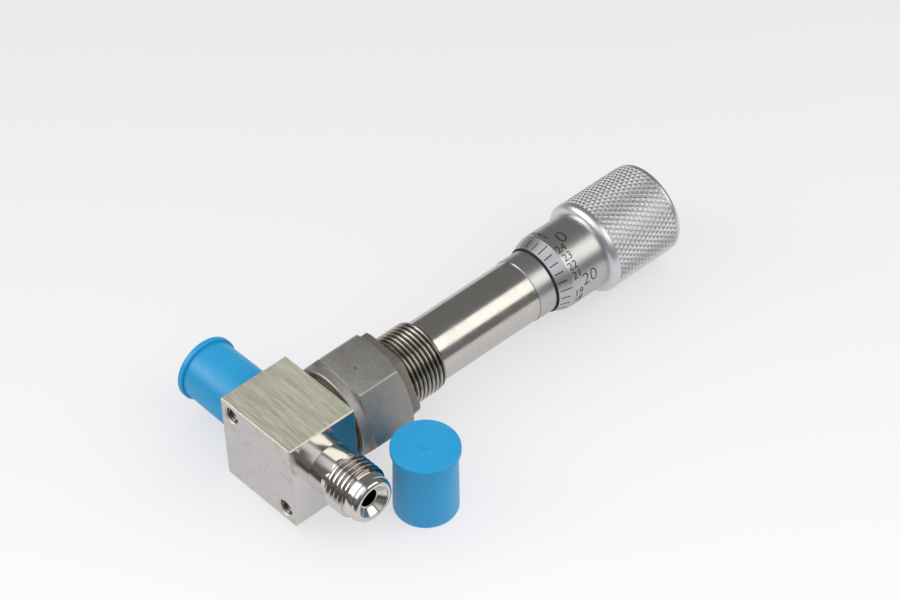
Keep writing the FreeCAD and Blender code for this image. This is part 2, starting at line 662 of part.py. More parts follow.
def make_bonnet_nut():
    """Thick union nut: turned collar below, inner thread on the neck, shoulder over the flange."""
    corner = corner_radius(nut_flats)
    body = hexagon_blank("bonnet_nut", nut_flats, nut_start, nut_end)
    collar_end = nut_start + size["nut_collar"]
    collar = nut_flats / 2 - size["nut_collar_step"]
    turn_away(body, "nut_collar_cut", [
        (nut_start, collar - size["nut_collar_bevel"]),
        (nut_start + size["nut_collar_bevel"], collar),
        (collar_end, collar),
        (collar_end, corner + cut_margin),
        (nut_start, corner + cut_margin)])
    bevel_corners(body, "nut_top", corner, nut_end, size["nut_top_bevel"])
    turn_away(body, "nut_bore", [
        (nut_start, 0),
        (nut_end, 0),
        (nut_end, shoulder_bore),
        (flange_end, shoulder_bore),
        (flange_end, neck_bore),
        (nut_start, neck_bore)])
    body.Placement = rolled(turn_about_stem=size["nut_phase"])


def make_panel_nut():
    """Thin nut that clamps the panel against the bonnet nut."""
    flats = (panel_bore + size["panel_nut_wall"]) * 2
    body = hexagon_blank("panel_nut", flats, nut_end, panel_nut_end)
    bevel_corners(body, "panel_nut_top", corner_radius(flats), panel_nut_end, size["panel_nut_bevel"])
    turn_away(body, "panel_nut_bore",
              ring_outline(nut_end, size["panel_nut_length"], plain(0), panel_bore))
    body.Placement = rolled(turn_about_stem=size["panel_nut_phase"])


def make_bellows():
    """Edge-welded bellows from the ring on the stem to the ring in the bonnet."""
    start = stem_start + size["stem_foot"] + size["ring_thickness"]
    length = web_bottom - size["ring_thickness"] - start
    folds = int(size["bellows_folds"].value)
    outside = []
    for step in range(2 * folds + 1):
        along = start + length * step / (2 * folds)
        radius = bellows_radius if step % 2 else bellows_root + size["bellows_wall"]
        outside.append((along, radius))
    inside = [(along, radius - size["bellows_wall"]) for along, radius in reversed(outside)]
    turned_piece("bellows", outside + inside)


def make_bellows_rings():
    """Lower ring on the stem, upper ring under the bonnet's web."""
    turned_piece("bellows_bottom_ring", ring_outline(
        stem_start + size["stem_foot"], size["ring_thickness"], size["stem_radius"], bellows_radius))
    turned_piece("bellows_top_ring", ring_outline(
        web_bottom - size["ring_thickness"], size["ring_thickness"],
        size["stem_radius"] + size["ring_play"], size["chamber_radius"]))


def make_needle():
    """Tapered point that meters the flow, with a spigot that is fixed in the stem."""
    point = seat_bottom - size["needle_reach"]
    shoulder = seat_top + size["needle_shoulder"]
    spigot_top = stem_start + size["needle_spigot_length"]
    full_radius = size["throat_radius"] - size["needle_gap"]
    turned_piece("needle_tip", [
        (point, 0),
        (spigot_top, 0),
        (spigot_top, size["needle_spigot"]),
        (stem_start, size["needle_spigot"]),
        (stem_start, full_radius),
        (shoulder, full_radius),
        (shoulder - size["needle_shoulder_length"], size["needle_shank"]),
        (seat_top + size["needle_lift"], size["orifice_radius"] - size["needle_play"]),
        (point, size["needle_point"])])


def make_stem():
    """Stem from the needle to the thrust ball, with a cup at its upper end."""
    spigot_top = stem_start + size["needle_spigot_length"]
    cup_radius = size["ball_radius"] + size["seat_clearance"]
    body = turned_piece("stem", [
        (spigot_top, 0),
        (cup_floor, 0),
        (cup_floor, cup_radius),
        (stem_end, cup_radius),
        (stem_end, size["stem_radius"] - size["stem_bevel"]),
        (stem_end - size["stem_bevel"], size["stem_radius"]),
        (stem_start, size["stem_radius"]),
        (stem_start, size["needle_spigot"]),
        (spigot_top, size["needle_spigot"])])
    cross_drill(body, "stem_hole", size["stem_radius"])


def make_stem_bush():
    """Flanged bush that guides the stem in the bonnet's web."""
    bush_flange_radius = tube_inner - size["bush_flange_gap"]
    turned_piece("stem_bush", [
        (web_bottom, stem_bore),
        (guide_start, stem_bore),
        (guide_start, bush_flange_radius),
        (web_end, bush_flange_radius),
        (web_end, bush_radius),
        (web_bottom, bush_radius)])


def cross_drill(body, name, radius):
    """Hole for the cross pin, right through a round piece of that radius."""
    section = new_sketch(body, name + "_section", "XY_Plane")
    draw_circle(section, pin_height, 0, size["pin_radius"])
    hole = extrude(body, name, section, (radius + cut_margin) * 2, "PartDesign::Pocket")
    hole.Midplane = True


def make_spring_plate():
    """Plate on the stem, cross-drilled for the pin."""
    body = turned_piece("spring_plate", ring_outline(
        plate_start, size["plate_thickness"], size["stem_radius"], plate_radius))
    cross_drill(body, "plate_hole", plate_radius)


def make_cross_pin():
    """Pin through plate and stem whose ends slide in the guide's slots."""
    reach = tube_inner - size["pin_end_play"]
    pin = doc.addObject("Part::Cylinder", "cross_pin")
    pin.Label = "cross_pin"
    pin.setExpression("Radius", size["pin_radius"].text)
    pin.setExpression("Height", (reach * 2).text)
    pin.Placement = rolled() * Placement(Vector(pin_height.value, 0, -reach.value), Rotation())


def make_stem_guide():
    """Liner of the tube with two slots for the cross pin."""
    body = turned_piece("stem_guide", ring_outline(
        guide_start, guide_end - guide_start, guide_inner, lining_radius))
    slot = new_sketch(body, "slot_section", "XY_Plane")
    half_width = size["pin_radius"] + size["running_clearance"]
    draw_outline(slot, [(slot_start, -half_width), (slot_end, -half_width),
                        (slot_end, half_width), (slot_start, half_width)])
    cut = extrude(body, "slots", slot, (tube_inner + cut_margin) * 2, "PartDesign::Pocket")
    cut.Midplane = True


def make_return_spring():
    """Compression spring between the bush's flange and the spring plate."""
    wire = size["spring_wire"]
    height = size["spring_length"] - wire * 2
    radius = size["stem_radius"] + size["spring_gap"] + wire
    helix = doc.addObject("Part::Helix", "spring_line")
    helix.setExpression("Radius", radius.text)
    helix.setExpression("Height", height.text)
    helix.setExpression("Pitch", (height / size["spring_turns"]).text)
    doc.recompute()
    section = doc.addObject("Part::Circle", "spring_section")
    section.setExpression("Radius", wire.text)
    section.Placement = Placement(Vector(radius.value, 0, 0), Rotation(Vector(1, 0, 0), 90))
    spring = doc.addObject("Part::Sweep", "return_spring")
    spring.Label = "return_spring"
    spring.Sections = [section]
    spring.Spine = (helix, ["Edge%d" % (index + 1) for index in range(len(helix.Shape.Edges))])
    spring.Solid = True
    spring.Frenet = True
    along_stem = Placement(Vector((guide_start + wire).value, 0, 0), Rotation(Vector(0, 1, 0), 90))
    spring.Placement = rolled() * along_stem


def make_tube():
    turned_piece("bonnet_tube", ring_outline(web_end, tube_end - web_end, tube_inner, tube_radius))


def make_ball():
    ball = doc.addObject("Part::Sphere", "thrust_ball")
    ball.Label = "thrust_ball"
    ball.setExpression("Radius", size["ball_radius"].text)
    ball.Placement = Placement(Vector(ball_centre.value, 0, 0), Rotation())


def make_graduated_sleeve():
    """Fixed sleeve: spigot in the tube, guide bore, seal groove and seat of the threaded bush."""
    groove_radius = spindle_bore + size["seal_section"]
    groove_start = tube_end + size["seal_inset"]
    groove_end = groove_start + size["seal_width"]
    relief_start = groove_end + size["seal_width"]
    relief_radius = size["spindle_thread"] + size["spindle_relief"]
    turned_piece("graduated_sleeve", [
        (spigot_start, spindle_bore),
        (groove_start, spindle_bore),
        (groove_start, groove_radius),
        (groove_end, groove_radius),
        (groove_end, spindle_bore),
        (relief_start, spindle_bore),
        (relief_start, relief_radius),
        (thread_bush_start, relief_radius),
        (thread_bush_start, thread_bush_radius),
        (sleeve_end, thread_bush_radius),
        (sleeve_end, sleeve_tail_radius),
        (tail_start, sleeve_tail_radius),
        (tail_start, sleeve_radius),
        (tube_end, sleeve_radius),
        (tube_end, lining_radius),
        (spigot_start, lining_radius)])


def make_thread_bush():
    turned_piece("thread_bush", ring_outline(
        thread_bush_start, size["bush_length"], thread_bore, thread_bush_radius))


def make_adjusting_nut():
    """Ring nut on the sleeve's tail that takes up play in the spindle's thread."""
    outer = thimble_bore - size["adjuster_gap"]
    body = turned_piece("adjusting_nut", ring_outline(
        sleeve_end - size["adjuster_length"], size["adjuster_length"],
        sleeve_tail_radius + size["seat_clearance"], outer))
    slots = new_sketch(body, "slot_section", "YZ_Plane", sleeve_end - size["adjuster_slot_depth"])
    half_width = size["adjuster_slot"] / 2
    edge = outer + cut_margin
    draw_outline(slots, [(-edge, -half_width), (edge, -half_width), (edge, half_width), (-edge, half_width)])
    extrude(body, "spanner_slots", slots, size["adjuster_length"], "PartDesign::Pocket", backwards=True)


def make_spindle_seal():
    """Rubber ring in the sleeve's groove."""
    ring_half = size["seal_section"] / 2
    seal = doc.addObject("Part::Torus", "spindle_seal")
    seal.Label = "spindle_seal"
    seal.setExpression("Radius1", (spindle_bore + ring_half).text)
    seal.setExpression("Radius2", ring_half.text)
    middle = tube_end + size["seal_inset"] + size["seal_width"] / 2
    seal.Placement = Placement(Vector(middle.value, 0, 0), Rotation(Vector(0, 1, 0), 90))


def make_spindle():
    """Micrometer spindle: plain guide part, fine thread and the tail in the thimble's web."""
    screw_end = thimble_web_end - size["screw_length"]
    thread_start = thread_bush_start + size["spindle_thread_inset"]
    turned_piece("micrometer_spindle", [
        (spindle_start, 0),
        (screw_end, 0),
        (screw_end, size["screw_radius"]),
        (thimble_web_end, size["screw_radius"]),
        (thimble_web_end, spindle_tail),
        (thimble_web_start, spindle_tail),
        (thimble_web_start, size["spindle_thread"]),
        (thread_start + size["spindle_thread_bevel"], size["spindle_thread"]),
        (thread_start, size["spindle_thread"] - size["spindle_thread_bevel"]),
        (thread_start, size["spindle_radius"]),
        (spindle_start + size["stem_bevel"], size["spindle_radius"]),
        (spindle_start, size["spindle_radius"] - size["stem_bevel"])])


def make_thimble():
    """Bevelled front edge, bore over the sleeve, web on the spindle and seat for the grip."""
    mouth_end = thimble_start + size["mouth_depth"]
    mouth_radius = thimble_bore + size["mouth_relief"]
    turned_piece("thimble", [
        (thimble_start, mouth_radius),
        (mouth_end, mouth_radius),
        (mouth_end, thimble_bore),
        (thimble_web_start, thimble_bore),
        (thimble_web_start, spindle_tail),
        (thimble_web_end, spindle_tail),
        (thimble_web_end, grip_seat),
        (grip_start, grip_seat),
        (grip_start, thimble_radius),
        (thimble_start + size["bevel_length"], thimble_radius),
        (thimble_start, thimble_bore + size["thimble_edge"])])


def make_grip():
    """Sleeve with a rounded shoulder, a smooth band, the knurled length and a rounded rim."""
    shoulder_end = grip_start + size["grip_shoulder"]
    ledge_radius = cover_radius - size["cover_ledge"]
    turned_piece("knurled_grip", [
        (grip_start, grip_seat),
        (thimble_web_end, grip_seat),
        (thimble_web_end, ledge_radius),
        (cover_start, ledge_radius),
        (cover_start, cover_radius),
        (grip_end, cover_radius),
        (grip_end, grip_radius - size["grip_rim_round"]),
        (grip_end - size["grip_rim_round"], grip_radius, size["grip_rim_round"], 1),
        (knurl_start, grip_radius),
        (knurl_start, grip_band_radius),
        (shoulder_end, grip_band_radius),
        (grip_start, thimble_radius + size["grip_lip"], size["grip_shoulder_round"], 1)])


def make_end_cover():
    """Disc in the grip's upper end."""
    top = cover_start + size["cover_thickness"]
    turned_piece("end_cover", [
        (cover_start, 0),
        (top, 0),
        (top, cover_radius - size["cover_bevel"]),
        (top - size["cover_bevel"], cover_radius),
        (cover_start, cover_radius)])


def make_spindle_screw():
    """Socket screw that draws the spindle's tail into the thimble."""
    screw_end = thimble_web_end - size["screw_length"]
    head_end = thimble_web_end + size["screw_head"]
    body = turned_piece("spindle_screw", [
        (screw_end, 0),
        (head_end, 0),
        (head_end, size["screw_head_radius"] - size["stem_bevel"]),
        (head_end - size["stem_bevel"], size["screw_head_radius"]),
        (thimble_web_end, size["screw_head_radius"]),
        (thimble_web_end, size["screw_radius"]),
        (screw_end, size["screw_radius"])])
    socket = new_sketch(body, "screw_socket_section", "YZ_Plane", head_end)
    draw_hexagon(socket, size["screw_socket_flats"])
    extrude(body, "screw_socket", socket, size["screw_socket_depth"], "PartDesign::Pocket")


def make_cap(label):
    """Push-on plastic cap: thin tapered wall, flange at the closed end and a small moulding nub."""
    closed_end = size["cap_length"]
    under_flange = closed_end - size["cap_flange"]
    flange = cap_neck + size["cap_rim"]
    return turned_piece(label, [
        (0, cap_bore),
        (under_flange, cap_bore),
        (under_flange, 0),
        (closed_end + size["nub_height"], 0),
        (closed_end + size["nub_height"], size["nub_radius"]),
        (closed_end, size["nub_radius"]),
        (closed_end, flange - size["cap_round"]),
        (closed_end - size["cap_round"], flange, size["cap_round"], 1),
        (under_flange, flange),
        (under_flange, cap_neck),
        (0, cap_neck + size["cap_taper"])])


def make_caps():
    """One cap on the outlet fitting, the other standing on its mouth beside the valve."""
    fitted = make_cap("fitted_cap")
    on_fitting = Placement(Vector((half_block + size["cap_gap"]).value, 0, 0), Rotation())
    fitted.Placement = rolled(size["flow_height"], 90) * on_fitting
    loose = make_cap("loose_cap")
    roll = math.radians(size["rest_roll"].value)
    bench = -half_block.value * (math.cos(roll) + math.sin(roll))
    upright = Rotation(Vector(0, 1, 0), -90)
    loose.Placement = Placement(Vector(size["loose_cap_x"].value, size["loose_cap_y"].value, bench), upright)


make_valve_body()
make_end_fitting("inlet_fitting", -90)
make_end_fitting("outlet_fitting", 90)
make_seat_insert()
make_body_gasket()
make_bonnet()
make_bonnet_nut()
make_panel_nut()
make_bellows()
make_bellows_rings()
make_needle()
make_stem()
make_stem_bush()
make_spring_plate()
make_cross_pin()
make_stem_guide()
make_return_spring()
make_tube()
make_ball()
make_graduated_sleeve()
make_thread_bush()
make_adjusting_nut()
make_spindle_seal()
make_spindle()
make_thimble()
make_grip()
make_end_cover()
make_spindle_screw()
make_caps()
doc.recompute()

CUTS = ("PartDesign::Pocket", "PartDesign::Groove", "PartDesign::SubtractiveCylinder",
        "PartDesign::SubtractiveCone")
PIECES = ("PartDesign::Body", "Part::Cylinder", "Part::Sphere", "Part::Torus", "Part::Sweep")

for thing in doc.Objects:
    if "Invalid" in thing.State or "Error" in thing.State:
        raise RuntimeError("%s is %s" % (thing.Label, thing.State))
    if thing.TypeId in CUTS and thing.Shape.Volume >= thing.BaseFeature.Shape.Volume:
        raise RuntimeError("%s cuts nothing" % thing.Label)
os.makedirs("parts", exist_ok=True)
for piece in doc.Objects:
    if piece.TypeId not in PIECES:
        continue
    shape = piece.Shape
    if shape.isNull() or not shape.isValid() or not shape.Solids:
        raise RuntimeError("%s has no valid solid" % piece.Label)
    shape.exportStep("parts/%s.step" % piece.Label)
    print("%-20s solids %d volume %8.1f  x %.2f..%.2f" % (
        piece.Label, len(shape.Solids), shape.Volume, shape.BoundBox.XMin, shape.BoundBox.XMax))
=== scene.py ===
# %% [markdown]
# # A metering valve, dressed for its portrait
# The solid model gives every piece its place and size. This lesson adds what a solid leaves out:
# cut threads, the diamond knurl, the engraved dial, moulded caps and the finish of each metal.

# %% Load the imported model
import json
import math

import bmesh
import bpy
from mathutils import Matrix, Vector


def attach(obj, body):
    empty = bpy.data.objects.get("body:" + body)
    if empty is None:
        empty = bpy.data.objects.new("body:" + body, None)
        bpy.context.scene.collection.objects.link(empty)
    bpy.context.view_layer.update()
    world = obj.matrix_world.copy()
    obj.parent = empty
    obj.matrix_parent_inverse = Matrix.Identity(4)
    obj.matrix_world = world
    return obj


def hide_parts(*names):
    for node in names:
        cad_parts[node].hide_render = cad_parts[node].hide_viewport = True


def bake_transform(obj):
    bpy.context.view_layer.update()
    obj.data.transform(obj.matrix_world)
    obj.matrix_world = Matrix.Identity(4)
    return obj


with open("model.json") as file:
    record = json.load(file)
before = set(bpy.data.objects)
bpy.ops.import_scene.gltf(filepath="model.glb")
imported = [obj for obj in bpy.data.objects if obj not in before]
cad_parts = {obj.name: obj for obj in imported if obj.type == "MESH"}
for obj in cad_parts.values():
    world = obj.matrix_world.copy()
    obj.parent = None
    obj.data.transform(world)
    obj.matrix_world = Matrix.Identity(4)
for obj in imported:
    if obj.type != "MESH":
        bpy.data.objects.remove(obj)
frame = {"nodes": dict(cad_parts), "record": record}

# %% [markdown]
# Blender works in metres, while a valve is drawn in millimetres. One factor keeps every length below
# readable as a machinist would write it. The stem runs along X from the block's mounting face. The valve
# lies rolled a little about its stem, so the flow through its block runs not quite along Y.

MM = 0.001
ROLL = math.radians(3.5)
FLOW = Vector((0.0, math.cos(ROLL), -math.sin(ROLL)))
FLOW_HEIGHT = 11.2
HALF_BAR = 12.7
HOLE_CIRCLE = 25.4
HOLE_REACH = HOLE_CIRCLE / (2 * math.sqrt(2))
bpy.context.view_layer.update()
nodes = frame["nodes"]
print("pieces in the model:", len(nodes))

# %% [markdown]
# ## The camera
# The picture is taken from above the block's corner with a long lens, which keeps the stem's far end
# almost as large as the near end. A camera's matrix is three directions: right, up and backwards.

# %% Camera
CAMERA_PLACE = Vector((-372.47, -486.77, 702.36)) * MM
LOOKING = Vector((0.45686, 0.51298, -0.72672)).normalized()
SENSOR_WIDTH = 36
FOCAL_LENGTH = 156.9
camera_right = Vector((0.74458, -0.66753, -0.00311)).normalized()
camera_up = camera_right.cross(LOOKING).normalized()

camera_data = bpy.data.cameras.new("camera")
camera_data.sensor_width = SENSOR_WIDTH
camera_data.lens = FOCAL_LENGTH
camera = bpy.data.objects.new("camera", camera_data)
bpy.context.collection.objects.link(camera)
axes = Matrix((camera_right, camera_up, -LOOKING)).transposed()
camera.matrix_world = Matrix.Translation(CAMERA_PLACE) @ axes.to_4x4()
bpy.context.scene.camera = camera
print("camera is %.2f m from the valve" % CAMERA_PLACE.length)

# %% [markdown]
# ## Nodes
# The light, the bench and every finish are made of nodes. A few small helpers keep that code short: most
# add one node, set or link its inputs, and give its output.


# %% Helpers for nodes
def feed(tree, node, inputs):
    """Gives a node its inputs. Each is a value, or another node's output that gets linked to it."""
    for key, value in inputs.items():
        if isinstance(value, bpy.types.NodeSocket):
            tree.links.new(value, node.inputs[key])
        else:
            node.inputs[key].default_value = value


def add_node(tree, kind, inputs, **settings):
    """Adds a node with its inputs and settings."""
    made = tree.nodes.new(kind)
    for key, value in settings.items():
        setattr(made, key, value)
    feed(tree, made, inputs)
    return made


def source(tree, kind, output):
    """An output of a node that needs no inputs."""
    return add_node(tree, kind, {}).outputs[output]


def noise(tree, place, scale, **more):
    """Noise between 0 and 1."""
    return add_node(tree, "ShaderNodeTexNoise", {"Vector": place, "Scale": scale, **more}).outputs["Fac"]


def new_group(name, inputs, outputs):
    """A shader node group with sockets given as (name, type, value)."""
    group = bpy.data.node_groups.new(name, "ShaderNodeTree")
    for label, kind, value in inputs:
        socket = group.interface.new_socket(label, in_out="INPUT", socket_type="NodeSocket" + kind)
        if value is not None:
            socket.default_value = value
    for label in outputs:
        group.interface.new_socket(label, in_out="OUTPUT", socket_type="NodeSocketFloat")
    entry = group.nodes.new("NodeGroupInput")
    leave = group.nodes.new("NodeGroupOutput")
    return group, entry.outputs, leave.inputs


def spread(tree, value, low, high, to_low=0.0, to_high=1.0):
    """Maps a range of values to another, held at both ends."""
    ranges = {"Value": value, "From Min": low, "From Max": high, "To Min": to_low, "To Max": to_high}
    return add_node(tree, "ShaderNodeMapRange", ranges).outputs["Result"]


def fade(tree, value, low, high):
    """Is 1 below a range of values and 0 above it."""
    return spread(tree, value, low, high, 1.0, 0.0)


def mix_colour(tree, factor, first, second):
    """Mixes two colours, or outputs, by a mask."""
    mixed = add_node(tree, "ShaderNodeMix", {"Factor": factor}, data_type="RGBA")
    for socket, colour in ((mixed.inputs["A"], first), (mixed.inputs["B"], second)):
        if isinstance(colour, bpy.types.NodeSocket):
            tree.links.new(colour, socket)
        else:
            socket.default_value = (*colour, 1.0)
    return mixed.outputs["Result"]


def mix_value(tree, factor, first, second):
    """Mixes two numbers, or outputs, by a mask."""
    return add_node(tree, "ShaderNodeMix", {"Factor": factor, "A": first, "B": second}).outputs[0]


def maths(tree, operation, first, second=0.0):
    """Works out something from one or two numbers or outputs."""
    return add_node(tree, "ShaderNodeMath", {0: first, 1: second}, operation=operation).outputs[0]


def times(tree, first, second):
    """Multiplies two numbers or outputs."""
    return maths(tree, "MULTIPLY", first, second)


def total(tree, *values):
    """Adds values and outputs together."""
    result = values[0]
    for value in values[1:]:
        result = maths(tree, "ADD", result, value)
    return result


def vectors(tree, operation, first, second=(0.0, 0.0, 0.0)):
    """Works out a vector, or else a product, a distance or a length, from one or two vectors."""
    made = add_node(tree, "ShaderNodeVectorMath", {0: first, 1: second}, operation=operation)
    return made.outputs["Value" if operation in ("DOT_PRODUCT", "DISTANCE", "LENGTH") else "Vector"]


def parts_of(tree, vector):
    """The X, Y and Z of a vector."""
    return add_node(tree, "ShaderNodeSeparateXYZ", {0: vector}).outputs


def place_group(tree, group, **inputs):
    """Puts a node group in a material, with its own values."""
    return add_node(tree, "ShaderNodeGroup", inputs, node_tree=group).outputs


materials = {}


def start_material(name):
    """An empty node material, kept under its name, its shader, and the valve's axes as coordinates."""
    material = bpy.data.materials.new(name)
    material.use_nodes = True
    tree = material.node_tree
    shader = tree.nodes["Principled BSDF"]
    local = source(tree, "ShaderNodeTexCoord", "Object")
    materials[name] = material
    return tree, shader, local


# %% [markdown]
# ## The bench
# The valve lies on its block, on a corner of its nut and on the grip's rim. The bench is one large pale
# sheet through these three, a little tilted against the stem, so that each of them casts its shadow.

# %% Bench
BENCH_UNDER_BLOCK = -13.5
BENCH_RISE = 0.0092
BENCH_HALF_WIDTH = 3.0

bench_shape = bmesh.new()
bmesh.ops.create_grid(bench_shape, x_segments=1, y_segments=1, size=BENCH_HALF_WIDTH)
for corner in bench_shape.verts:
    corner.co.z = BENCH_UNDER_BLOCK * MM + BENCH_RISE * corner.co.x
bench_mesh = bpy.data.meshes.new("bench")
bench_shape.to_mesh(bench_mesh)
bench = bpy.data.objects.new("bench", bench_mesh)
bpy.context.collection.objects.link(bench)
print("bench height under the block:", BENCH_UNDER_BLOCK, "mm")

# %% [markdown]
# White paper in a bright room has almost no shadows, since light comes to it from everywhere. Half of
# the paper's brightness is therefore its own glow, and half is lit and takes the valve's soft shadows.
# The metal should not mirror an endless white floor: to every ray but the camera's, the sheet ends in
# the dark a hand's breadth around the valve, and closer still in front of the block's corner, which
# gives the fitting's neck its dark side. On the block's side of the bench that dark is reddish.

# %% Bench paper
SHEET_MIDDLE = (0.06, -0.02, 0.0)
SHEET_BORDER = (0.13, 0.36)
TO_THE_FRONT = (-0.7, -0.7, 0.0)
FRONT_BORDER = (0.032, 0.052)
REDDISH_BORDER = (-0.22, -0.06)
NEAR_GLOW, FAR_GLOW = 0.625, 0.475
MIRRORED_GLOW = 0.66

tree, shader, local = start_material("bench_paper")
reach = vectors(tree, "DISTANCE", local, SHEET_MIDDLE)
in_front = vectors(tree, "DOT_PRODUCT", local, TO_THE_FRONT)
sheet = times(tree, fade(tree, reach, *SHEET_BORDER), fade(tree, in_front, *FRONT_BORDER))
by_camera = source(tree, "ShaderNodeLightPath", "Is Camera Ray")
shown = maths(tree, "MAXIMUM", sheet, by_camera)
far = vectors(tree, "DOT_PRODUCT", local, LOOKING)
glow = spread(tree, far, -0.02, 0.13, NEAR_GLOW, FAR_GLOW)
glow = times(tree, glow, mix_value(tree, by_camera, MIRRORED_GLOW, 1.0))
grain = noise(tree, local, 6.0, Detail=3.0)
pale = mix_colour(tree, grain, (0.325, 0.32, 0.325), (0.345, 0.34, 0.345))
reddish = fade(tree, parts_of(tree, local)["X"], *REDDISH_BORDER)
dark = mix_colour(tree, reddish, (0.08, 0.08, 0.08), (0.13, 0.05, 0.055))
feed(tree, shader, {"Base Color": mix_colour(tree, shown, dark, pale), "Roughness": 0.9,
                    "Specular IOR Level": 0.0, "Emission Color": (0.99, 0.985, 1.0, 1.0),
                    "Emission Strength": times(tree, glow, shown)})
bench.data.materials.append(materials["bench_paper"])
print("bench ready")

# %% [markdown]
# ## Light
# Polished metal shows the room around it, so a lamp is first of all something that is seen. A wide soft
# box in front gives every round part one bright band, and its size is what makes the band wide. Its sides
# lie in line with the stem, which keeps the band's borders straight. The second lamp is a window at the
# side of the block, which the rounded shoulders show.


# %% Lamps
AIM = Vector((0.055, 0.0, 0.0))
LAMP_DISTANCE = 1.1


def soft_box(name, direction, along, across, brightness, colour):
    """A rectangular lamp that faces the valve, with one side in line with the stem."""
    lamp = bpy.data.lights.new(name, "AREA")
    lamp.shape = "RECTANGLE"
    lamp.size = along
    lamp.size_y = across
    lamp.energy = brightness * math.pi * along * across
    lamp.color = colour
    holder = bpy.data.objects.new(name, lamp)
    bpy.context.collection.objects.link(holder)
    away = Vector(direction).normalized()
    side = (Vector((1, 0, 0)) - away * away.x).normalized()
    turned = Matrix((side, away.cross(side), away)).transposed()
    holder.matrix_world = Matrix.Translation(AIM + away * LAMP_DISTANCE) @ turned.to_4x4()
    print(name, "gives %.1f W" % lamp.energy)


soft_box("front_box", (0.457, -0.549, 0.700), along=1.00, across=0.75, brightness=1.30,
         colour=(1.0, 0.99, 0.92))
soft_box("window", (-0.66, 0.58, 0.49), along=0.50, across=0.52, brightness=2.4,
         colour=(0.98, 0.99, 1.0))

# %% [markdown]
# The rest of the room is the world's colour. A mirror sees a dark room that gets pale and a little blue
# overhead, on the side of the block, but for its corner in front. A bright window behind that side fills
# the grip's rounded shoulder and gives the fitting its white line, with a reddish dark strip below it.
# The direction of a ray, which the world gets as Generated, says which. Matt surfaces get an even pale
# room instead, as from many lamps too weak to be seen in metal.

# %% World
DARK_ROOM = (0.165, 0.162, 0.158)
PALE_ROOM = (0.88, 0.89, 0.94)
REDDISH_STRIP = (0.13, 0.075, 0.075)
BRIGHT_WINDOW = (1.65, 1.65, 1.66)
MATT_ROOM = (0.86, 0.86, 0.87)

scene = bpy.context.scene
world = bpy.data.worlds.new("studio")
scene.world = world
world.use_nodes = True
sky = world.node_tree
toward = parts_of(sky, source(sky, "ShaderNodeTexCoord", "Generated"))
overhead = times(sky, fade(sky, toward["X"], -0.17, 0.04), spread(sky, toward["Z"], 0.32, 0.68))
corner = times(sky, fade(sky, toward["X"], -0.64, -0.46), fade(sky, toward["Y"], -0.42, -0.12))
pale = times(sky, overhead, fade(sky, corner, 0.0, 1.0))
mirrored = mix_colour(sky, pale, DARK_ROOM, PALE_ROOM)
strip = times(sky, fade(sky, toward["X"], -0.72, -0.62), spread(sky, toward["Y"], 0.40, 0.50))
mirrored = mix_colour(sky, strip, mirrored, REDDISH_STRIP)
behind = times(sky, fade(sky, toward["X"], -0.19, -0.08), spread(sky, toward["Z"], 0.32, 0.44))
beside = spread(sky, toward["Y"], -0.05, 0.30)
mirrored = mix_colour(sky, times(sky, behind, beside), mirrored, BRIGHT_WINDOW)
glossy = source(sky, "ShaderNodeLightPath", "Is Glossy Ray")
feed(sky, sky.nodes["Background"], {"Color": mix_colour(sky, glossy, MATT_ROOM, mirrored)})
scene.view_settings.view_transform = "Standard"
print("world ready")

# %% [markdown]
# ## Materials
# A metal's look is mostly its surface: how fine the tool marks are, which way they run, and what has
# touched it since. Each such effect is a node group with named sockets, built once and used by many
# materials.

# %% [markdown]
# **Tool marks.** A brushed or turned surface is full of fine parallel lines. Noise that is squeezed
# across the marks and stretched along them looks like that. The stretch is the material's own, so one
# group serves the block, whose lines run along the flow, and the round parts, whose lines run around.

# %% Group: tool marks
marks_group, given, out = new_group(
    "tool marks", [("Place", "Vector", None), ("Fineness", "Float", 1.0)], ["Lines", "Streaks"])
fine_noise = noise(marks_group, given["Place"], given["Fineness"], Detail=4.0, Roughness=0.7)
wide_place = vectors(marks_group, "MULTIPLY", given["Place"], (0.13, 0.13, 0.13))
wide_noise = noise(marks_group, wide_place, given["Fineness"], Detail=2.0)
marks_group.links.new(spread(marks_group, fine_noise, 0.3, 0.7), out["Lines"])
marks_group.links.new(spread(marks_group, wide_noise, 0.35, 0.65), out["Streaks"])
print("group:", marks_group.name)

# %% [markdown]
# **Smudges.** Handling leaves dull clouds with soft edges. Two sizes of noise, one bent by the other,
# make a mask that is nowhere regular.

# %% Group: smudges
smudge_group, given, out = new_group(
    "smudges", [("Place", "Vector", None), ("Size", "Float", 0.01), ("Amount", "Float", 0.5)], ["Mask"])
per_metre = maths(smudge_group, "DIVIDE", 1.0, given["Size"])
cloud = noise(smudge_group, given["Place"], per_metre, Detail=5.0, Distortion=1.2)
start = maths(smudge_group, "SUBTRACT", 0.75, given["Amount"])
smooth = maths(smudge_group, "SUBTRACT", cloud, start)
smudge_group.links.new(spread(smudge_group, smooth, 0.0, 0.35), out["Mask"])
print("group:", smudge_group.name)

# %% [markdown]
# **Hairlines.** A part that has been in a drawer with others has a few long thin scratches. The line
# where a stretched noise passes its middle value is such a curve.

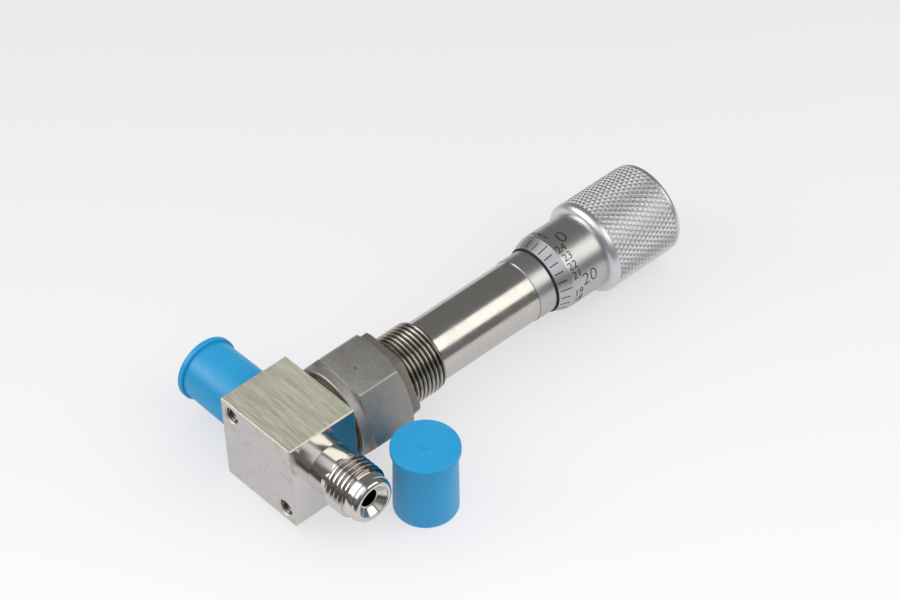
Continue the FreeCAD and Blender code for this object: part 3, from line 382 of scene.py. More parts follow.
# %% Group: hairlines
hair_group, given, out = new_group(
    "hairlines", [("Place", "Vector", None), ("Scale", "Float", 200.0), ("Width", "Float", 0.01)], ["Mask"])
long_place = add_node(hair_group, "ShaderNodeMapping",
                      {"Vector": given["Place"], "Rotation": (0.4, 0.9, 0.3), "Scale": (1.0, 0.25, 3.0)})
hair_noise = noise(hair_group, long_place.outputs[0], given["Scale"], Detail=1.0)
off_middle = maths(hair_group, "ABSOLUTE", maths(hair_group, "SUBTRACT", hair_noise, 0.5))
ratio = maths(hair_group, "DIVIDE", off_middle, given["Width"])
hair_group.links.new(fade(hair_group, ratio, 0.0, 1.0), out["Mask"])
print("group:", hair_group.name)

# %% [markdown]
# **Faces of the block.** One bar has three finishes, so its material has to know which way a face
# looks. The dot product of the normal with a direction is 1 on the faces that look that way.

# %% Group: faces that look one way
facing_group, given, out = new_group("facing", [("Direction", "Vector", (0.0, 0.0, 1.0))], ["Mask"])
normal = source(facing_group, "ShaderNodeTexCoord", "Normal")
match = vectors(facing_group, "DOT_PRODUCT", normal, given["Direction"])
facing_group.links.new(spread(facing_group, match, 0.75, 0.97), out["Mask"])
print("group:", facing_group.name)


# %% [markdown]
# Every metal here is the same recipe with other numbers: a light and a dark shade mixed by the tool
# marks, a roughness that smudges and marks change, and a shallow bump. The recipe is one function.

# %% The recipe for a metal
def make_metal(name, light, dark, roughness, marks=(3000, 30, 30), turn=0.0, depth=0.00001,
               marks_rough=0.10, smudge=0.12, scratches=0.3, metallic=1.0):
    """A metal whose tool marks run along the axis with the smallest of the three scales in marks."""
    tree, shader, local = start_material(name)
    laid = add_node(tree, "ShaderNodeMapping", {"Vector": local, "Rotation": (turn, 0, 0), "Scale": marks})
    lines = place_group(tree, marks_group, Place=laid.outputs[0])
    clouds = place_group(tree, smudge_group, Place=local, Size=0.007, Amount=0.32)["Mask"]
    hairs = place_group(tree, hair_group, Place=local, Scale=260.0, Width=0.006)["Mask"]
    tone = mix_colour(tree, lines["Lines"], dark, light)
    tone = mix_colour(tree, times(tree, lines["Streaks"], 0.4), tone, dark)
    tone = mix_colour(tree, times(tree, clouds, 0.35), tone, dark)
    rough = total(tree, times(tree, lines["Lines"], marks_rough), times(tree, clouds, smudge), roughness)
    height = total(tree, times(tree, hairs, -scratches), lines["Lines"])
    bump = add_node(tree, "ShaderNodeBump", {"Height": height, "Strength": 0.35, "Distance": depth})
    feed(tree, shader, {"Base Color": tone, "Roughness": rough, "Metallic": metallic,
                        "Normal": bump.outputs[0]})
    return tree, shader, local, tone, rough


def ring_mask(tree, place, middle, inner, outer, soft):
    """Where a place is between two distances, in millimetres, from a middle. The outer border is soft."""
    distance = vectors(tree, "DISTANCE", place, middle)
    beyond = spread(tree, distance, (inner - 0.05) * MM, inner * MM)
    return times(tree, beyond, fade(tree, distance, (outer - soft) * MM, outer * MM))


# %% [markdown]
# The visible metals. Colours come from what each surface shows of the pale bench: the tube and the
# fittings are a warm steel, the handle is chromium with a cold tinge, the nuts are duller.

# %% Metals that show
AROUND = (3500, 25, 25)
FINE_AROUND = (9000, 60, 60)

make_metal("polished_tube", (0.78, 0.76, 0.72), (0.65, 0.63, 0.595), 0.13, AROUND, depth=0.000006,
           marks_rough=0.08, smudge=0.10)
make_metal("satin_chrome", (0.68, 0.68, 0.69), (0.60, 0.60, 0.61), 0.28, FINE_AROUND, depth=0.000004,
           marks_rough=0.08, smudge=0.05)
# A lit copy of the satin chrome: the grip is painted lighter, so that its shoulder and knurl show bright.
make_metal("lit_knurl_chrome", (0.90, 0.90, 0.92), (0.80, 0.80, 0.82), 0.31, FINE_AROUND, depth=0.000003,
           marks_rough=0.06, smudge=0.05)
# A darker copy of the thread metal, as painted shade inside the tapped holes.
make_metal("shaded_hole_thread", (0.42, 0.39, 0.37), (0.14, 0.12, 0.12), 0.18, (2000, 60, 60))
print("metals so far:", sorted(materials))

# %% [markdown]
# Threads are bright on their crests, and dark in their grooves, where oil stays and painted shade stands
# for the light that hardly gets in. How far a point lies from its thread's axis tells the two apart. On
# the end fittings that dark is painted weaker on the side of the mounting face, where the bench shines on
# them.

# %% Threads and fittings
ACROSS_STEM = (0, 1, 1)
FLOW_MIDDLE = (FLOW_HEIGHT * MM, 0, 0)
LIT_SIDE_BORDER = ((FLOW_HEIGHT - 5.0) * MM, (FLOW_HEIGHT + 1.0) * MM)

tree, shader, local, tone, _ = make_metal(
    "bright_thread", (0.84, 0.80, 0.73), (0.62, 0.57, 0.50), 0.14, AROUND, depth=0.000006)
from_stem = vectors(tree, "MULTIPLY", local, ACROSS_STEM)
groove = ring_mask(tree, from_stem, (0, 0, 0), inner=8.4, outer=9.32, soft=0.40)
# Painted shade and oil: the thread's grooves are made nearly black.
tone = mix_colour(tree, times(tree, groove, 0.94), tone, (0.07, 0.05, 0.04))
feed(tree, shader, {"Base Color": tone})

tree, shader, local, tone, _ = make_metal(
    "polished_steel", (0.86, 0.84, 0.81), (0.74, 0.72, 0.68), 0.06, AROUND, depth=0.000004,
    marks_rough=0.05, smudge=0.08)
along = vectors(tree, "DOT_PRODUCT", local, FLOW)
on_axis = add_node(tree, "ShaderNodeVectorMath", {0: FLOW, "Scale": along}, operation="SCALE").outputs[0]
from_axis = vectors(tree, "SUBTRACT", local, on_axis)
outside = spread(tree, maths(tree, "ABSOLUTE", along), 9.0 * MM, 9.5 * MM)
groove = ring_mask(tree, from_axis, FLOW_MIDDLE, inner=6.34, outer=7.05, soft=0.30)
bore = ring_mask(tree, from_axis, FLOW_MIDDLE, inner=0.0, outer=2.5, soft=0.1)
# Painted shade and oil in the grooves, weaker towards the mounting face, where the bench lights them.
shade_by_side = spread(tree, parts_of(tree, local)["X"], *LIT_SIDE_BORDER, 0.15, 0.85)
tone = mix_colour(tree, times(tree, times(tree, groove, outside), shade_by_side), tone, (0.16, 0.10, 0.09))
# Painted shade: the fitting's bore is made almost black inside.
tone = mix_colour(tree, times(tree, bore, outside), tone, (0.05, 0.045, 0.045))
feed(tree, shader, {"Base Color": tone})
print("threads and fittings ready")

# %% [markdown]
# The metals inside the valve are seen only when it is taken apart, and get the same care: bronze
# bushes, the drawn steel of the bellows, spring wire and hardened parts.

# %% Metals inside
make_metal("seat_alloy", (0.58, 0.58, 0.59), (0.47, 0.47, 0.48), 0.18, FINE_AROUND)
make_metal("nickel_ring", (0.66, 0.63, 0.56), (0.54, 0.51, 0.45), 0.30, AROUND)
make_metal("bellows_steel", (0.66, 0.65, 0.63), (0.52, 0.51, 0.49), 0.22, (1200, 60, 60))
make_metal("bronze", (0.72, 0.52, 0.27), (0.55, 0.37, 0.17), 0.27, AROUND)
make_metal("spring_steel", (0.48, 0.47, 0.47), (0.36, 0.35, 0.35), 0.28, (900, 900, 900))
make_metal("ball_steel", (0.74, 0.74, 0.75), (0.66, 0.66, 0.67), 0.06, FINE_AROUND, depth=0.000002)
print("metals:", len(materials))

# %% [markdown]
# ## The block's three finishes
# The upper and lower faces are brushed along the flow, with darker streaks. The mounting face is blasted
# to a dull, slightly pink satin and has picked up smudges. The port faces are turned mirror bright.

# %% Brushed block
tree, shader, local, tone, rough = make_metal(
    "brushed_block", (1.0, 0.98, 0.82), (0.52, 0.505, 0.395), 0.32, (1900, 22, 1900), turn=ROLL,
    depth=0.000018, marks_rough=0.14, smudge=0.10)
port_face = total(tree, place_group(tree, facing_group, Direction=FLOW)["Mask"],
                  place_group(tree, facing_group, Direction=-FLOW)["Mask"])
mount_face = place_group(tree, facing_group, Direction=(-1.0, 0.0, 0.0))["Mask"]
dirt = place_group(tree, smudge_group, Place=local, Size=0.003, Amount=0.24)["Mask"]
satin = mix_colour(tree, dirt, (0.73, 0.70, 0.685), (0.58, 0.545, 0.53))
tone = mix_colour(tree, mount_face, tone, satin)
tone = mix_colour(tree, port_face, tone, (0.84, 0.82, 0.80))
# Painted shade: the block is made dark inside its two mounting holes, from a tenth of a millimetre down.
in_face = vectors(tree, "MULTIPLY", local, ACROSS_STEM)
to_hole = Matrix.Rotation(-ROLL, 3, "X") @ Vector((0, HOLE_REACH, HOLE_REACH)) * MM
holes = total(tree, *(ring_mask(tree, in_face, middle, inner=0.0, outer=2.2, soft=0.1)
                      for middle in (to_hole, -to_hole)))
depth = parts_of(tree, local)["X"]
inside = times(tree, spread(tree, depth, 0.1 * MM, 0.5 * MM), fade(tree, depth, 9 * MM, 9.5 * MM))
tone = mix_colour(tree, times(tree, holes, inside), tone, (0.10, 0.08, 0.08))
# Painted shade and oil: the block's neck, seen in the gap under the union nut, is made dark.
neck = spread(tree, depth, 20.15 * MM, 20.3 * MM)
tone = mix_colour(tree, neck, tone, (0.20, 0.18, 0.15))
metal = mix_value(tree, port_face, mix_value(tree, mount_face, 0.58, 0.82), 1.0)
satin_rough = total(tree, times(tree, dirt, 0.12), 0.36)
faces = mix_value(tree, port_face, mix_value(tree, mount_face, rough, satin_rough), 0.06)
feed(tree, shader, {"Base Color": tone, "Metallic": metal, "Roughness": faces})
print("block finish ready")

# %% [markdown]
# ## The nuts
# Both hexagons are rolled bar with a dull skin. Water has left a few brownish stains, and one of the
# flats has a small spot of rust. Edges stay bright where spanners and fingers polish them, and a painted
# highlight makes them brighter still; on a hexagon those are simply the places farthest from the stem.

# %% Satin nut
RUST_SPOT = (0.0295, -0.0013, 0.0126)
NUT_FLATS = 25.3
NUT_CORNER = NUT_FLATS / 2 / math.cos(math.pi / 6)
THIN_NUT_FROM = 37.5

tree, shader, local, tone, rough = make_metal(
    "satin_nut", (0.54, 0.525, 0.505), (0.43, 0.415, 0.395), 0.38, (900, 900, 900), depth=0.00001,
    marks_rough=0.10, smudge=0.12, metallic=0.82)
stain = place_group(tree, smudge_group, Place=local, Size=0.006, Amount=0.22)["Mask"]
tone = mix_colour(tree, times(tree, stain, 0.5), tone, (0.33, 0.28, 0.22))
rust = ring_mask(tree, local, RUST_SPOT, inner=0.0, outer=0.50, soft=0.25)
tone = mix_colour(tree, times(tree, rust, 0.8), tone, (0.24, 0.10, 0.04))
place = parts_of(tree, local)
# Painted shade: both nuts are made darker towards +Y.
tone = mix_colour(tree, spread(tree, place["Y"], -3 * MM, 9 * MM, 0.0, 0.6), tone, (0.30, 0.30, 0.285))
thin_nut = spread(tree, place["X"], (THIN_NUT_FROM - 0.05) * MM, (THIN_NUT_FROM + 0.05) * MM)
tone = mix_colour(tree, times(tree, thin_nut, 0.75), tone, (0.33, 0.30, 0.25))
# Worn edges with a painted highlight: the corners farthest from the stem are made pale and smoother.
from_stem = vectors(tree, "LENGTH", vectors(tree, "MULTIPLY", local, ACROSS_STEM))
worn_edge_highlight = spread(tree, from_stem, (NUT_CORNER - 0.30) * MM, (NUT_CORNER - 0.10) * MM)
tone = mix_colour(tree, worn_edge_highlight, tone, (0.86, 0.85, 0.80))
feed(tree, shader, {"Base Color": tone, "Roughness": mix_value(tree, worn_edge_highlight, rough, 0.20)})
print("nut finish ready")

# %% [markdown]
# ## Plastic and rubber
# The caps are soft polyethylene: a clear blue that light enters a little, with a faint grain and small
# scuffs. The seal is black rubber, and the dial's filling is a matt dark paint.

# %% Blue plastic
tree, shader, local = start_material("blue_plastic")
grain = noise(tree, local, 2600.0, Detail=3.0)
scuffs = place_group(tree, hair_group, Place=local, Scale=170.0, Width=0.008)["Mask"]
clouds = place_group(tree, smudge_group, Place=local, Size=0.012, Amount=0.35)["Mask"]
tone = mix_colour(tree, times(tree, clouds, 0.5), (0.012, 0.335, 0.66), (0.016, 0.39, 0.71))
tone = mix_colour(tree, times(tree, scuffs, 0.25), tone, (0.10, 0.42, 0.78))
rough = total(tree, times(tree, clouds, 0.08), times(tree, grain, 0.08), 0.30)
height = total(tree, grain, times(tree, scuffs, -0.6))
bump = add_node(tree, "ShaderNodeBump", {"Height": height, "Strength": 0.25, "Distance": 0.00002})
feed(tree, shader, {"Base Color": tone, "Roughness": rough, "Normal": bump.outputs[0],
                    "Subsurface Weight": 0.25, "Subsurface Radius": (0.2, 0.6, 1.0),
                    "Subsurface Scale": 0.0012})
print("plastic ready")

# %% Rubber and dial paint
for name, colour in (("seal_rubber", (0.02, 0.02, 0.02)), ("dial_paint", (0.016, 0.016, 0.018))):
    tree, shader, local = start_material(name)
    mottle = noise(tree, local, 3000.0)
    lighter = tuple(part * 1.8 for part in colour)
    feed(tree, shader, {"Base Color": mix_colour(tree, mottle, colour, lighter),
                        "Roughness": spread(tree, mottle, 0.3, 0.7, 0.60, 0.80),
                        "Specular IOR Level": 0.15})

# %% [markdown]
# ## Finishes on the solid pieces
# The record lists the material slot of every node. A solid whose shape is right keeps its mesh, and
# only gets its finish.

# %% Finish every node
finish_of = {part["node"]: part["material_slot"] for part in frame["record"]["subparts"]}
for name, piece in nodes.items():
    piece.data.materials.clear()
    piece.data.materials.append(materials[finish_of[name]])
print("finished nodes:", len(finish_of))

# %% [markdown]
# ## Turned pieces
# A lathe makes a part from one outline. Blender's spin does the same: an open wire of corners, given as
# (along the stem, radius), is turned once round the X axis. Merging the doubles closes the seam.


# %% Helpers for turned pieces
ROUND_STEPS = 128
SMALL_STEPS = 96
HOLE_STEPS = 48
SAME_PLACE = 0.0005


def weld(shape, distance=SAME_PLACE):
    """Merges the vertices that lie closer together than a distance in millimetres."""
    bmesh.ops.remove_doubles(shape, verts=shape.verts, dist=distance * MM)


def add_shape(target, added):
    """Moves all of one shape into another."""
    carried = bpy.data.meshes.new("carried")
    added.to_mesh(carried)
    added.free()
    target.from_mesh(carried)
    bpy.data.meshes.remove(carried)


def copy_of(node, distance):
    """A solid's mesh as a shape, with its doubles merged."""
    copy = bmesh.new()
    copy.from_mesh(nodes[node].data)
    weld(copy, distance)
    return copy


def lay_wire(shape, corners):
    """Adds an outline of (along, radius) corners in millimetres, and gives its vertices and edges."""
    points = [shape.verts.new((along * MM, radius * MM, 0)) for along, radius in corners]
    return points + [shape.edges.new(pair) for pair in zip(points, points[1:])]


def turn_once(shape, corners, steps, pitch=0.0):
    """Spins an outline round the X axis, moving on by the pitch as it goes."""
    wire = lay_wire(shape, corners)
    bmesh.ops.spin(shape, geom=wire, cent=(0, 0, 0), axis=(1, 0, 0), dvec=(pitch * MM / steps, 0, 0),
                   angle=2 * math.pi, steps=steps, use_merge=(pitch == 0))
    weld(shape, 0.0002)


def radius_of(vertex):
    """Distance of a vertex from the stem's axis, in millimetres."""
    return math.hypot(vertex.co.y, vertex.co.z) / MM


def on_ring(vertex, along, radius):
    """Whether a vertex lies at a height and radius."""
    return abs(vertex.co.x / MM - along) < 0.001 and abs(radius_of(vertex) - radius) < 0.001


def round_rings(shape, *rings):
    """Rounds rings of edges, each given as (along the stem, radius, size of the rounding, segments)."""
    for along, radius, size, segments in rings:
        ring = [edge for edge in shape.edges if all(on_ring(vertex, along, radius) for vertex in edge.verts)]
        bmesh.ops.bevel(shape, geom=ring, offset=size * MM, segments=segments, profile=0.5,
                        affect="EDGES", material=-1)


def break_edges(shape, size, above=35, segments=2):
    """Takes the sharpness off every edge that turns by more than an angle."""
    sharp = [edge for edge in shape.edges if edge.calc_face_angle(0) > math.radians(above)]
    bmesh.ops.bevel(shape, geom=sharp, offset=size * MM, segments=segments, profile=0.5,
                    affect="EDGES", clamp_overlap=True, material=-1)


# %% [markdown]
# A finished shape becomes an object, shades smoothly up to a chosen angle, takes its finish, and rides
# on the body that carries it. One function does this for every new piece.


# %% Helper that finishes a piece
def finish_piece(shape, name, body, slot, smooth_below=32, material=None):
    """Turns a shape into a finished object of the valve, which rides on its body if one is given."""
    bmesh.ops.recalc_face_normals(shape, faces=shape.faces)
    mesh = bpy.data.meshes.new(name)
    shape.to_mesh(mesh)
    shape.free()
    mesh.shade_smooth()
    mesh.set_sharp_from_angle(angle=math.radians(smooth_below))
    mesh.materials.append(materials[material or slot])
    piece = bpy.data.objects.new(name, mesh)
    bpy.context.collection.objects.link(piece)
    if body:
        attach(piece, body)
    print("%-24s %6d faces" % (name, len(mesh.polygons)))
    return piece


# %% [markdown]
# ## Threads
# A thread is one tooth that goes round a cylinder and moves on by its pitch each turn. The outline of
# many teeth in a row is spun once with that movement, so that the end of each tooth meets the start of
# the next, and the seam closes. Both ends then have to become plain rings: every vertex is held between
# the ends and under a cone at each end, which is also what a real chamfer does to a thread.

# %% Helper that cuts a thread
TOOTH = ((0.00, 0.0), (0.09, 0.0), (0.15, 0.07), (0.39, 0.93), (0.44, 1.0), (0.56, 1.0), (0.61, 0.93),
         (0.85, 0.07), (0.91, 0.0))


def cut_thread(shape, start, end, root, crest, pitch, foot, steps):
    """Adds a helical thread between two heights, with ends that close to rings of the foot's radius."""
    teeth = int((end - start) / pitch) + 3
    outline = [(start + (number - 2 + along) * pitch, root + (crest - root) * height)
               for number in range(teeth) for along, height in TOOTH]
    thread = bmesh.new()
    turn_once(thread, outline, steps, pitch)
    for vertex in thread.verts:
        along = min(max(vertex.co.x / MM, start), end)
        limit = foot + min(along - start, end - along)
        radius = radius_of(vertex)
        wanted = min(radius, limit) if crest > root else max(radius, 2 * foot - limit)
        vertex.co = (along * MM, vertex.co.y * wanted / radius, vertex.co.z * wanted / radius)
    weld(thread)
    bmesh.ops.dissolve_degenerate(thread, edges=thread.edges, dist=SAME_PLACE * MM)
    add_shape(shape, thread)
    weld(shape)


# %% [markdown]
# **The bonnet.** Its upper half is the panel thread, 19 mm across with 20 threads to the inch, cut on
# the same bar as the flange that the union nut clamps. The plain outline is turned first, and the
# thread then joins it at two rings.

# %% Threaded bonnet
BONNET_OUTLINE = [(52.0, 8.6), (52.0, 8.33), (48.4, 8.33), (48.4, 4.6), (44.9, 4.6), (44.9, 6.2),
                  (27.4, 6.2), (27.4, 10.3), (30.4, 10.3), (30.4, 9.0), (38.6, 9.0), (38.8, 8.6)]
bonnet = bmesh.new()
turn_once(bonnet, BONNET_OUTLINE, ROUND_STEPS)
cut_thread(bonnet, start=38.8, end=52.0, root=8.66, crest=9.4, pitch=1.27, foot=8.6, steps=ROUND_STEPS)
threaded_bonnet = finish_piece(bonnet, "threaded_bonnet", "root", "bright_thread")
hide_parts("bonnet")


# %% [markdown]
# ## End fittings
# Each end is a male face-seal fitting: a plain neck, a 9/16 inch thread, a smooth band and a rounded
# bead around a dish that leads to the bore. It is turned along the X axis, like everything from the
# lathe, and then put in its port by the same turn and shift that the solid has.

# %% Fittings
FITTING_OUTLINE = [(25.5, 6.19), (27.4, 6.194), (27.4, 5.894), (29.1, 5.894), (29.1, 4.294), (28.75, 4.294),
                   (27.0, 2.65), (27.0, 2.3), (9.6, 2.3), (9.6, 3.97), (12.7, 3.97), (12.7, 6.294),
                   (18.2, 6.294), (18.3, 6.19)]


def in_port(side):
    """Placement of a piece that was turned along X in the port on one side: -1 inlet, +1 outlet."""
    shift = Matrix.Translation((FLOW_HEIGHT * MM, 0, 0))
    return Matrix.Rotation(-ROLL, 4, "X") @ shift @ Matrix.Rotation(side * math.pi / 2, 4, "Z")


def make_fitting(name, node, side):
    """A threaded end fitting in its port."""
    fitting = bmesh.new()
    turn_once(fitting, FITTING_OUTLINE, ROUND_STEPS)
    round_rings(fitting, (29.1, 5.894, 1.1, 6), (29.1, 4.294, 0.3, 3), (27.0, 2.65, 0.25, 3))
    break_edges(fitting, 0.08, above=60)
    cut_thread(fitting, start=18.3, end=25.5, root=6.36, crest=7.144, pitch=1.411, foot=6.19,
               steps=ROUND_STEPS)
    fitting.transform(in_port(side))
    piece = finish_piece(fitting, name, "root", "polished_steel")
    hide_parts(node)


make_fitting("open_end_fitting", "inlet_fitting", -1)
make_fitting("capped_end_fitting", "outlet_fitting", 1)

# %% [markdown]
# ## Tapped mounting holes
# The two holes in the mounting face are tapped 10-32. An inner thread is a helix whose teeth point
# inwards. Here it is a thin lining in each hole, and its back lies inside the block's metal.

# %% Linings of the mounting holes
for name, side in (("upper_tapped_hole", 1), ("lower_tapped_hole", -1)):
    lining = bmesh.new()
    turn_once(lining, [(6.2, 2.0), (6.2, 2.08), (0.6, 2.08), (0.6, 2.0)], HOLE_STEPS)
    cut_thread(lining, start=0.6, end=6.2, root=1.99, crest=1.68, pitch=0.794, foot=2.0, steps=HOLE_STEPS)
    reach = side * HOLE_REACH * MM
    lining.transform(Matrix.Rotation(-ROLL, 4, "X") @ Matrix.Translation((0, reach, reach)))
    # The linings take the darker metal, as painted shade in the holes.
    finish_piece(lining, name, "root", "brushed_block", material="shaded_hole_thread")

# %% [markdown]
# ## The nuts' edges
# A solid's edges are perfectly sharp, and a sharp edge never shines. The nuts are copies of their
# solids with the doubles merged, the flat faces joined and every real edge rounded by one or two tenths
# of a millimetre, which is what gives the thin bright line along each edge of a real nut.


# %% Softened copies of the nuts
def softened_copy(node, name, size):
    """A copy of a solid whose edges are rounded."""
    copy = copy_of(node, 0.001)
    bmesh.ops.dissolve_limit(copy, angle_limit=math.radians(0.3), verts=copy.verts, edges=copy.edges)
    break_edges(copy, size, above=20, segments=3)
    piece = finish_piece(copy, name, "root", finish_of[node], smooth_below=25)
    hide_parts(node)


softened_copy("bonnet_nut", "union_nut", 0.20)
softened_copy("panel_nut", "thin_panel_nut", 0.10)

# %% [markdown]
# ## The bellows and the return spring
# Inside the bonnet a thin bellows seals the stem. Its lower ring moves with the stem, and its upper ring
# stays in the bonnet, so its folds close up as the valve opens. The return spring stands in the tube and
# lifts the stem's plate, so it gets longer. Both are copies of their solids with their places baked in,
# and neither rides on a body.


# %% Copies of the bellows and the spring
def following_copy(node, name):
    """A copy of a solid, with its place baked in, that rides on no body."""
    piece = finish_piece(copy_of(node, SAME_PLACE), name, None, finish_of[node])
    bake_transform(piece)
    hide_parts(node)


following_copy("bellows", "folding_bellows")
following_copy("return_spring", "lifting_spring")

# %% [markdown]
# ## The knurled grip
# A diamond knurl is pressed by two wheels whose ridges lean to opposite sides. There are 54 diamonds
# around and 17 rows along, each row shifted by half a diamond. A grid of small squares on the cylinder
# is split along alternating diagonals, and the inner corner of each four triangles is dissolved: what is
# left are diamonds. Each is inset and raised, which gives its four flanks and its flat top.

# %% Knurl
KNURL_START = 106.9
KNURL_END = 126.5
KNURL_ROWS = 17
KNURL_STEPS = 108
KNURL_FLOOR = 11.87
KNURL_HEIGHT = 0.40

row_height = (KNURL_END - KNURL_START) / KNURL_ROWS
rows = [(KNURL_START + row * row_height, KNURL_FLOOR) for row in range(KNURL_ROWS + 1)]
knurl = bmesh.new()
turn_once(knurl, rows, KNURL_STEPS)


def row_and_step(place):
    """Where a point lies in the knurl's grid, in squares."""
    step = math.atan2(place.z, place.y) / (2 * math.pi) * KNURL_STEPS
    return (place.x / MM - KNURL_START) / row_height, step % KNURL_STEPS


def is_odd(place, shift=0.0):
    """Whether a point lies on an odd place of the grid, as on the black squares of a chessboard."""
    row, step = row_and_step(place)
    return round(row - shift) + round(step - shift) & 1 == 1


even_squares = [face for face in knurl.faces if not is_odd(face.calc_center_median(), 0.5)]
odd_squares = [face for face in knurl.faces if is_odd(face.calc_center_median(), 0.5)]
print("knurl squares:", len(even_squares), len(odd_squares))

# %% Diamonds
FLANK = 0.43
HALF_FLANK = 0.26
HALF_HEIGHT = 0.7 * KNURL_HEIGHT

first_corner = even_squares[0].verts[0]
ways = ("FIXED", "ALTERNATE")
if is_odd(first_corner.co):
    ways = ways[::-1]
bmesh.ops.triangulate(knurl, faces=even_squares, quad_method=ways[0])
bmesh.ops.triangulate(knurl, faces=odd_squares, quad_method=ways[1])
inner = [vertex for vertex in knurl.verts if is_odd(vertex.co) and len(vertex.link_edges) == 4]
print("diamond centres:", len(inner), "from", len(knurl.verts))
bmesh.ops.dissolve_verts(knurl, verts=inner)
ends = [vertex for vertex in knurl.verts if vertex.is_boundary and len(vertex.link_edges) == 3]
end_edges = [edge for vertex in ends for edge in vertex.link_edges if not edge.is_boundary]
bmesh.ops.dissolve_edges(knurl, edges=end_edges, use_verts=False)
whole = [face for face in knurl.faces if not any(edge.is_boundary for edge in face.edges)]
halves = [face for face in knurl.faces if any(edge.is_boundary for edge in face.edges)]
print("whole diamonds:", len(whole), "halves:", len(halves))
bmesh.ops.recalc_face_normals(knurl, faces=knurl.faces)
outward = sum(face.normal.dot(face.calc_center_median() * Vector(ACROSS_STEM)) for face in whole)
if outward < 0:
    bmesh.ops.reverse_faces(knurl, faces=knurl.faces)
for faces, flank, height in ((whole, FLANK, KNURL_HEIGHT), (halves, HALF_FLANK, HALF_HEIGHT)):
    bmesh.ops.inset_individual(knurl, faces=faces, thickness=flank * MM, depth=height * MM,
                               use_even_offset=True)
print("radius of the crests: %.2f mm" % max(radius_of(vertex) for vertex in knurl.verts))

# %% [markdown]
# The rest of the grip is plain turning: a rounded shoulder, a smooth band, the rim and the seat of the
# end cover. Its two open rings have the knurl's own number of steps, so the merged doubles close them.

# %% Grip around the knurl
GRIP_OUTLINE = [(KNURL_END, KNURL_FLOOR), (126.56, 12.14), (128.1, 12.25), (128.1, 9.2), (125.7, 9.2),
                (125.7, 8.2), (120.8, 8.2), (120.8, 9.8), (104.5, 9.8), (104.5, 12.4), (KNURL_START, 12.4),
                (KNURL_START, KNURL_FLOOR)]
grip = bmesh.new()
turn_once(grip, GRIP_OUTLINE, KNURL_STEPS)
round_rings(grip, (128.1, 12.25, 1.40, 6), (104.5, 12.4, 1.85, 8), (KNURL_START, 12.4, 0.10, 2),
            (128.1, 9.2, 0.20, 3))
add_shape(grip, knurl)
weld(grip)
# The grip takes the lighter, painted-light copy of the satin chrome.
knurled = finish_piece(grip, "diamond_knurled_grip", "handle", "satin_chrome", smooth_below=24,
                       material="lit_knurl_chrome")
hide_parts("knurled_grip")

# %% [markdown]
# ## The dial
# The thimble's bevel has 25 lines, and each has its number. They are engraved and filled with paint, so
# here they are thin inlays that stand about a hundredth of a millimetre proud. An inlay is made flat, and
# then wrapped: its length runs along the stem, and its height goes round the thimble.

# %% Helper that wraps a flat inlay
THIMBLE_START = 89.2
BEVEL_END = 93.0
EDGE_RADIUS = 9.0
THIMBLE_RADIUS = 10.3
PROUD = 0.012
INLAY_DEPTH = 0.05
FLAT_PART = 0.3


def thimble_radius_at(along):
    """Radius of the thimble's outside at a height."""
    share = min(max((along - THIMBLE_START) / (BEVEL_END - THIMBLE_START), 0), 1)
    return EDGE_RADIUS + (THIMBLE_RADIUS - EDGE_RADIUS) * share


def wrap_inlay(flat, target, radius_at, angle):
    """Bends a flat shape, drawn in millimetres, onto a round surface, and adds it to the target."""
    low = min(vertex.co.y for vertex in flat.verts)
    high = max(vertex.co.y for vertex in flat.verts)
    cuts = max(1, round((high - low) / FLAT_PART))
    for cut in range(1, cuts):
        place = (0, low + (high - low) * cut / cuts, 0)
        bmesh.ops.bisect_plane(flat, geom=flat.verts[:] + flat.edges[:] + flat.faces[:], dist=0.0001,
                               plane_co=place, plane_no=(0, 1, 0))
    for vertex in flat.verts:
        along, height = vertex.co.x, vertex.co.y
        radius = radius_at(along)
        turned = math.radians(angle) - height / radius
        reach = radius + PROUD
        vertex.co = Vector((along, reach * math.cos(turned), reach * math.sin(turned))) * MM
    add_shape(target, flat)


# %% [markdown]
# **Numbers.** Blender's own font is a little heavy for an engraver's single stroke. A negative offset of
# the text's outline makes it thinner. The text becomes a mesh, and is scaled to the size of the number.


# %% Helper for flat numbers
def flat_number(words, middle, height, stretch, weight):
    """A flat number centred on the stem's line, with its middle at a height along the stem."""
    font = bpy.data.curves.new("number", "FONT")
    font.body = words
    font.offset = weight
    font.resolution_u = 4
    holder = bpy.data.objects.new("number", font)
    bpy.context.collection.objects.link(holder)
    mesh = bpy.data.meshes.new_from_object(holder.evaluated_get(bpy.context.evaluated_depsgraph_get()))
    bpy.data.objects.remove(holder)
    flat = bmesh.new()
    flat.from_mesh(mesh)
    bpy.data.meshes.remove(mesh)
    bmesh.ops.remove_doubles(flat, verts=flat.verts, dist=0.0001)
    low = Vector((min(v.co.x for v in flat.verts), min(v.co.y for v in flat.verts), 0))
    high = Vector((max(v.co.x for v in flat.verts), max(v.co.y for v in flat.verts), 0))
    grown = height / (high.y - low.y)
    bmesh.ops.translate(flat, verts=flat.verts, vec=-(low + high) / 2)
    bmesh.ops.scale(flat, verts=flat.verts, vec=(grown * stretch, grown, 1))
    bmesh.ops.translate(flat, verts=flat.verts, vec=(middle, 0, 0))
    return flat


def flat_strip(middle, size, along_parts, across_parts):
    """A flat rectangle, with its middle and its size given along and across the stem."""
    flat = bmesh.new()
    bmesh.ops.create_grid(flat, x_segments=along_parts, y_segments=across_parts, size=0.5)
    bmesh.ops.scale(flat, verts=flat.verts, vec=(*size, 1))
    bmesh.ops.translate(flat, verts=flat.verts, vec=(*middle, 0))
    return flat


def flat_line(start, end, width):
    """A flat stroke along the stem."""
    return flat_strip(((start + end) / 2, 0), (end - start, width), 4, 1)


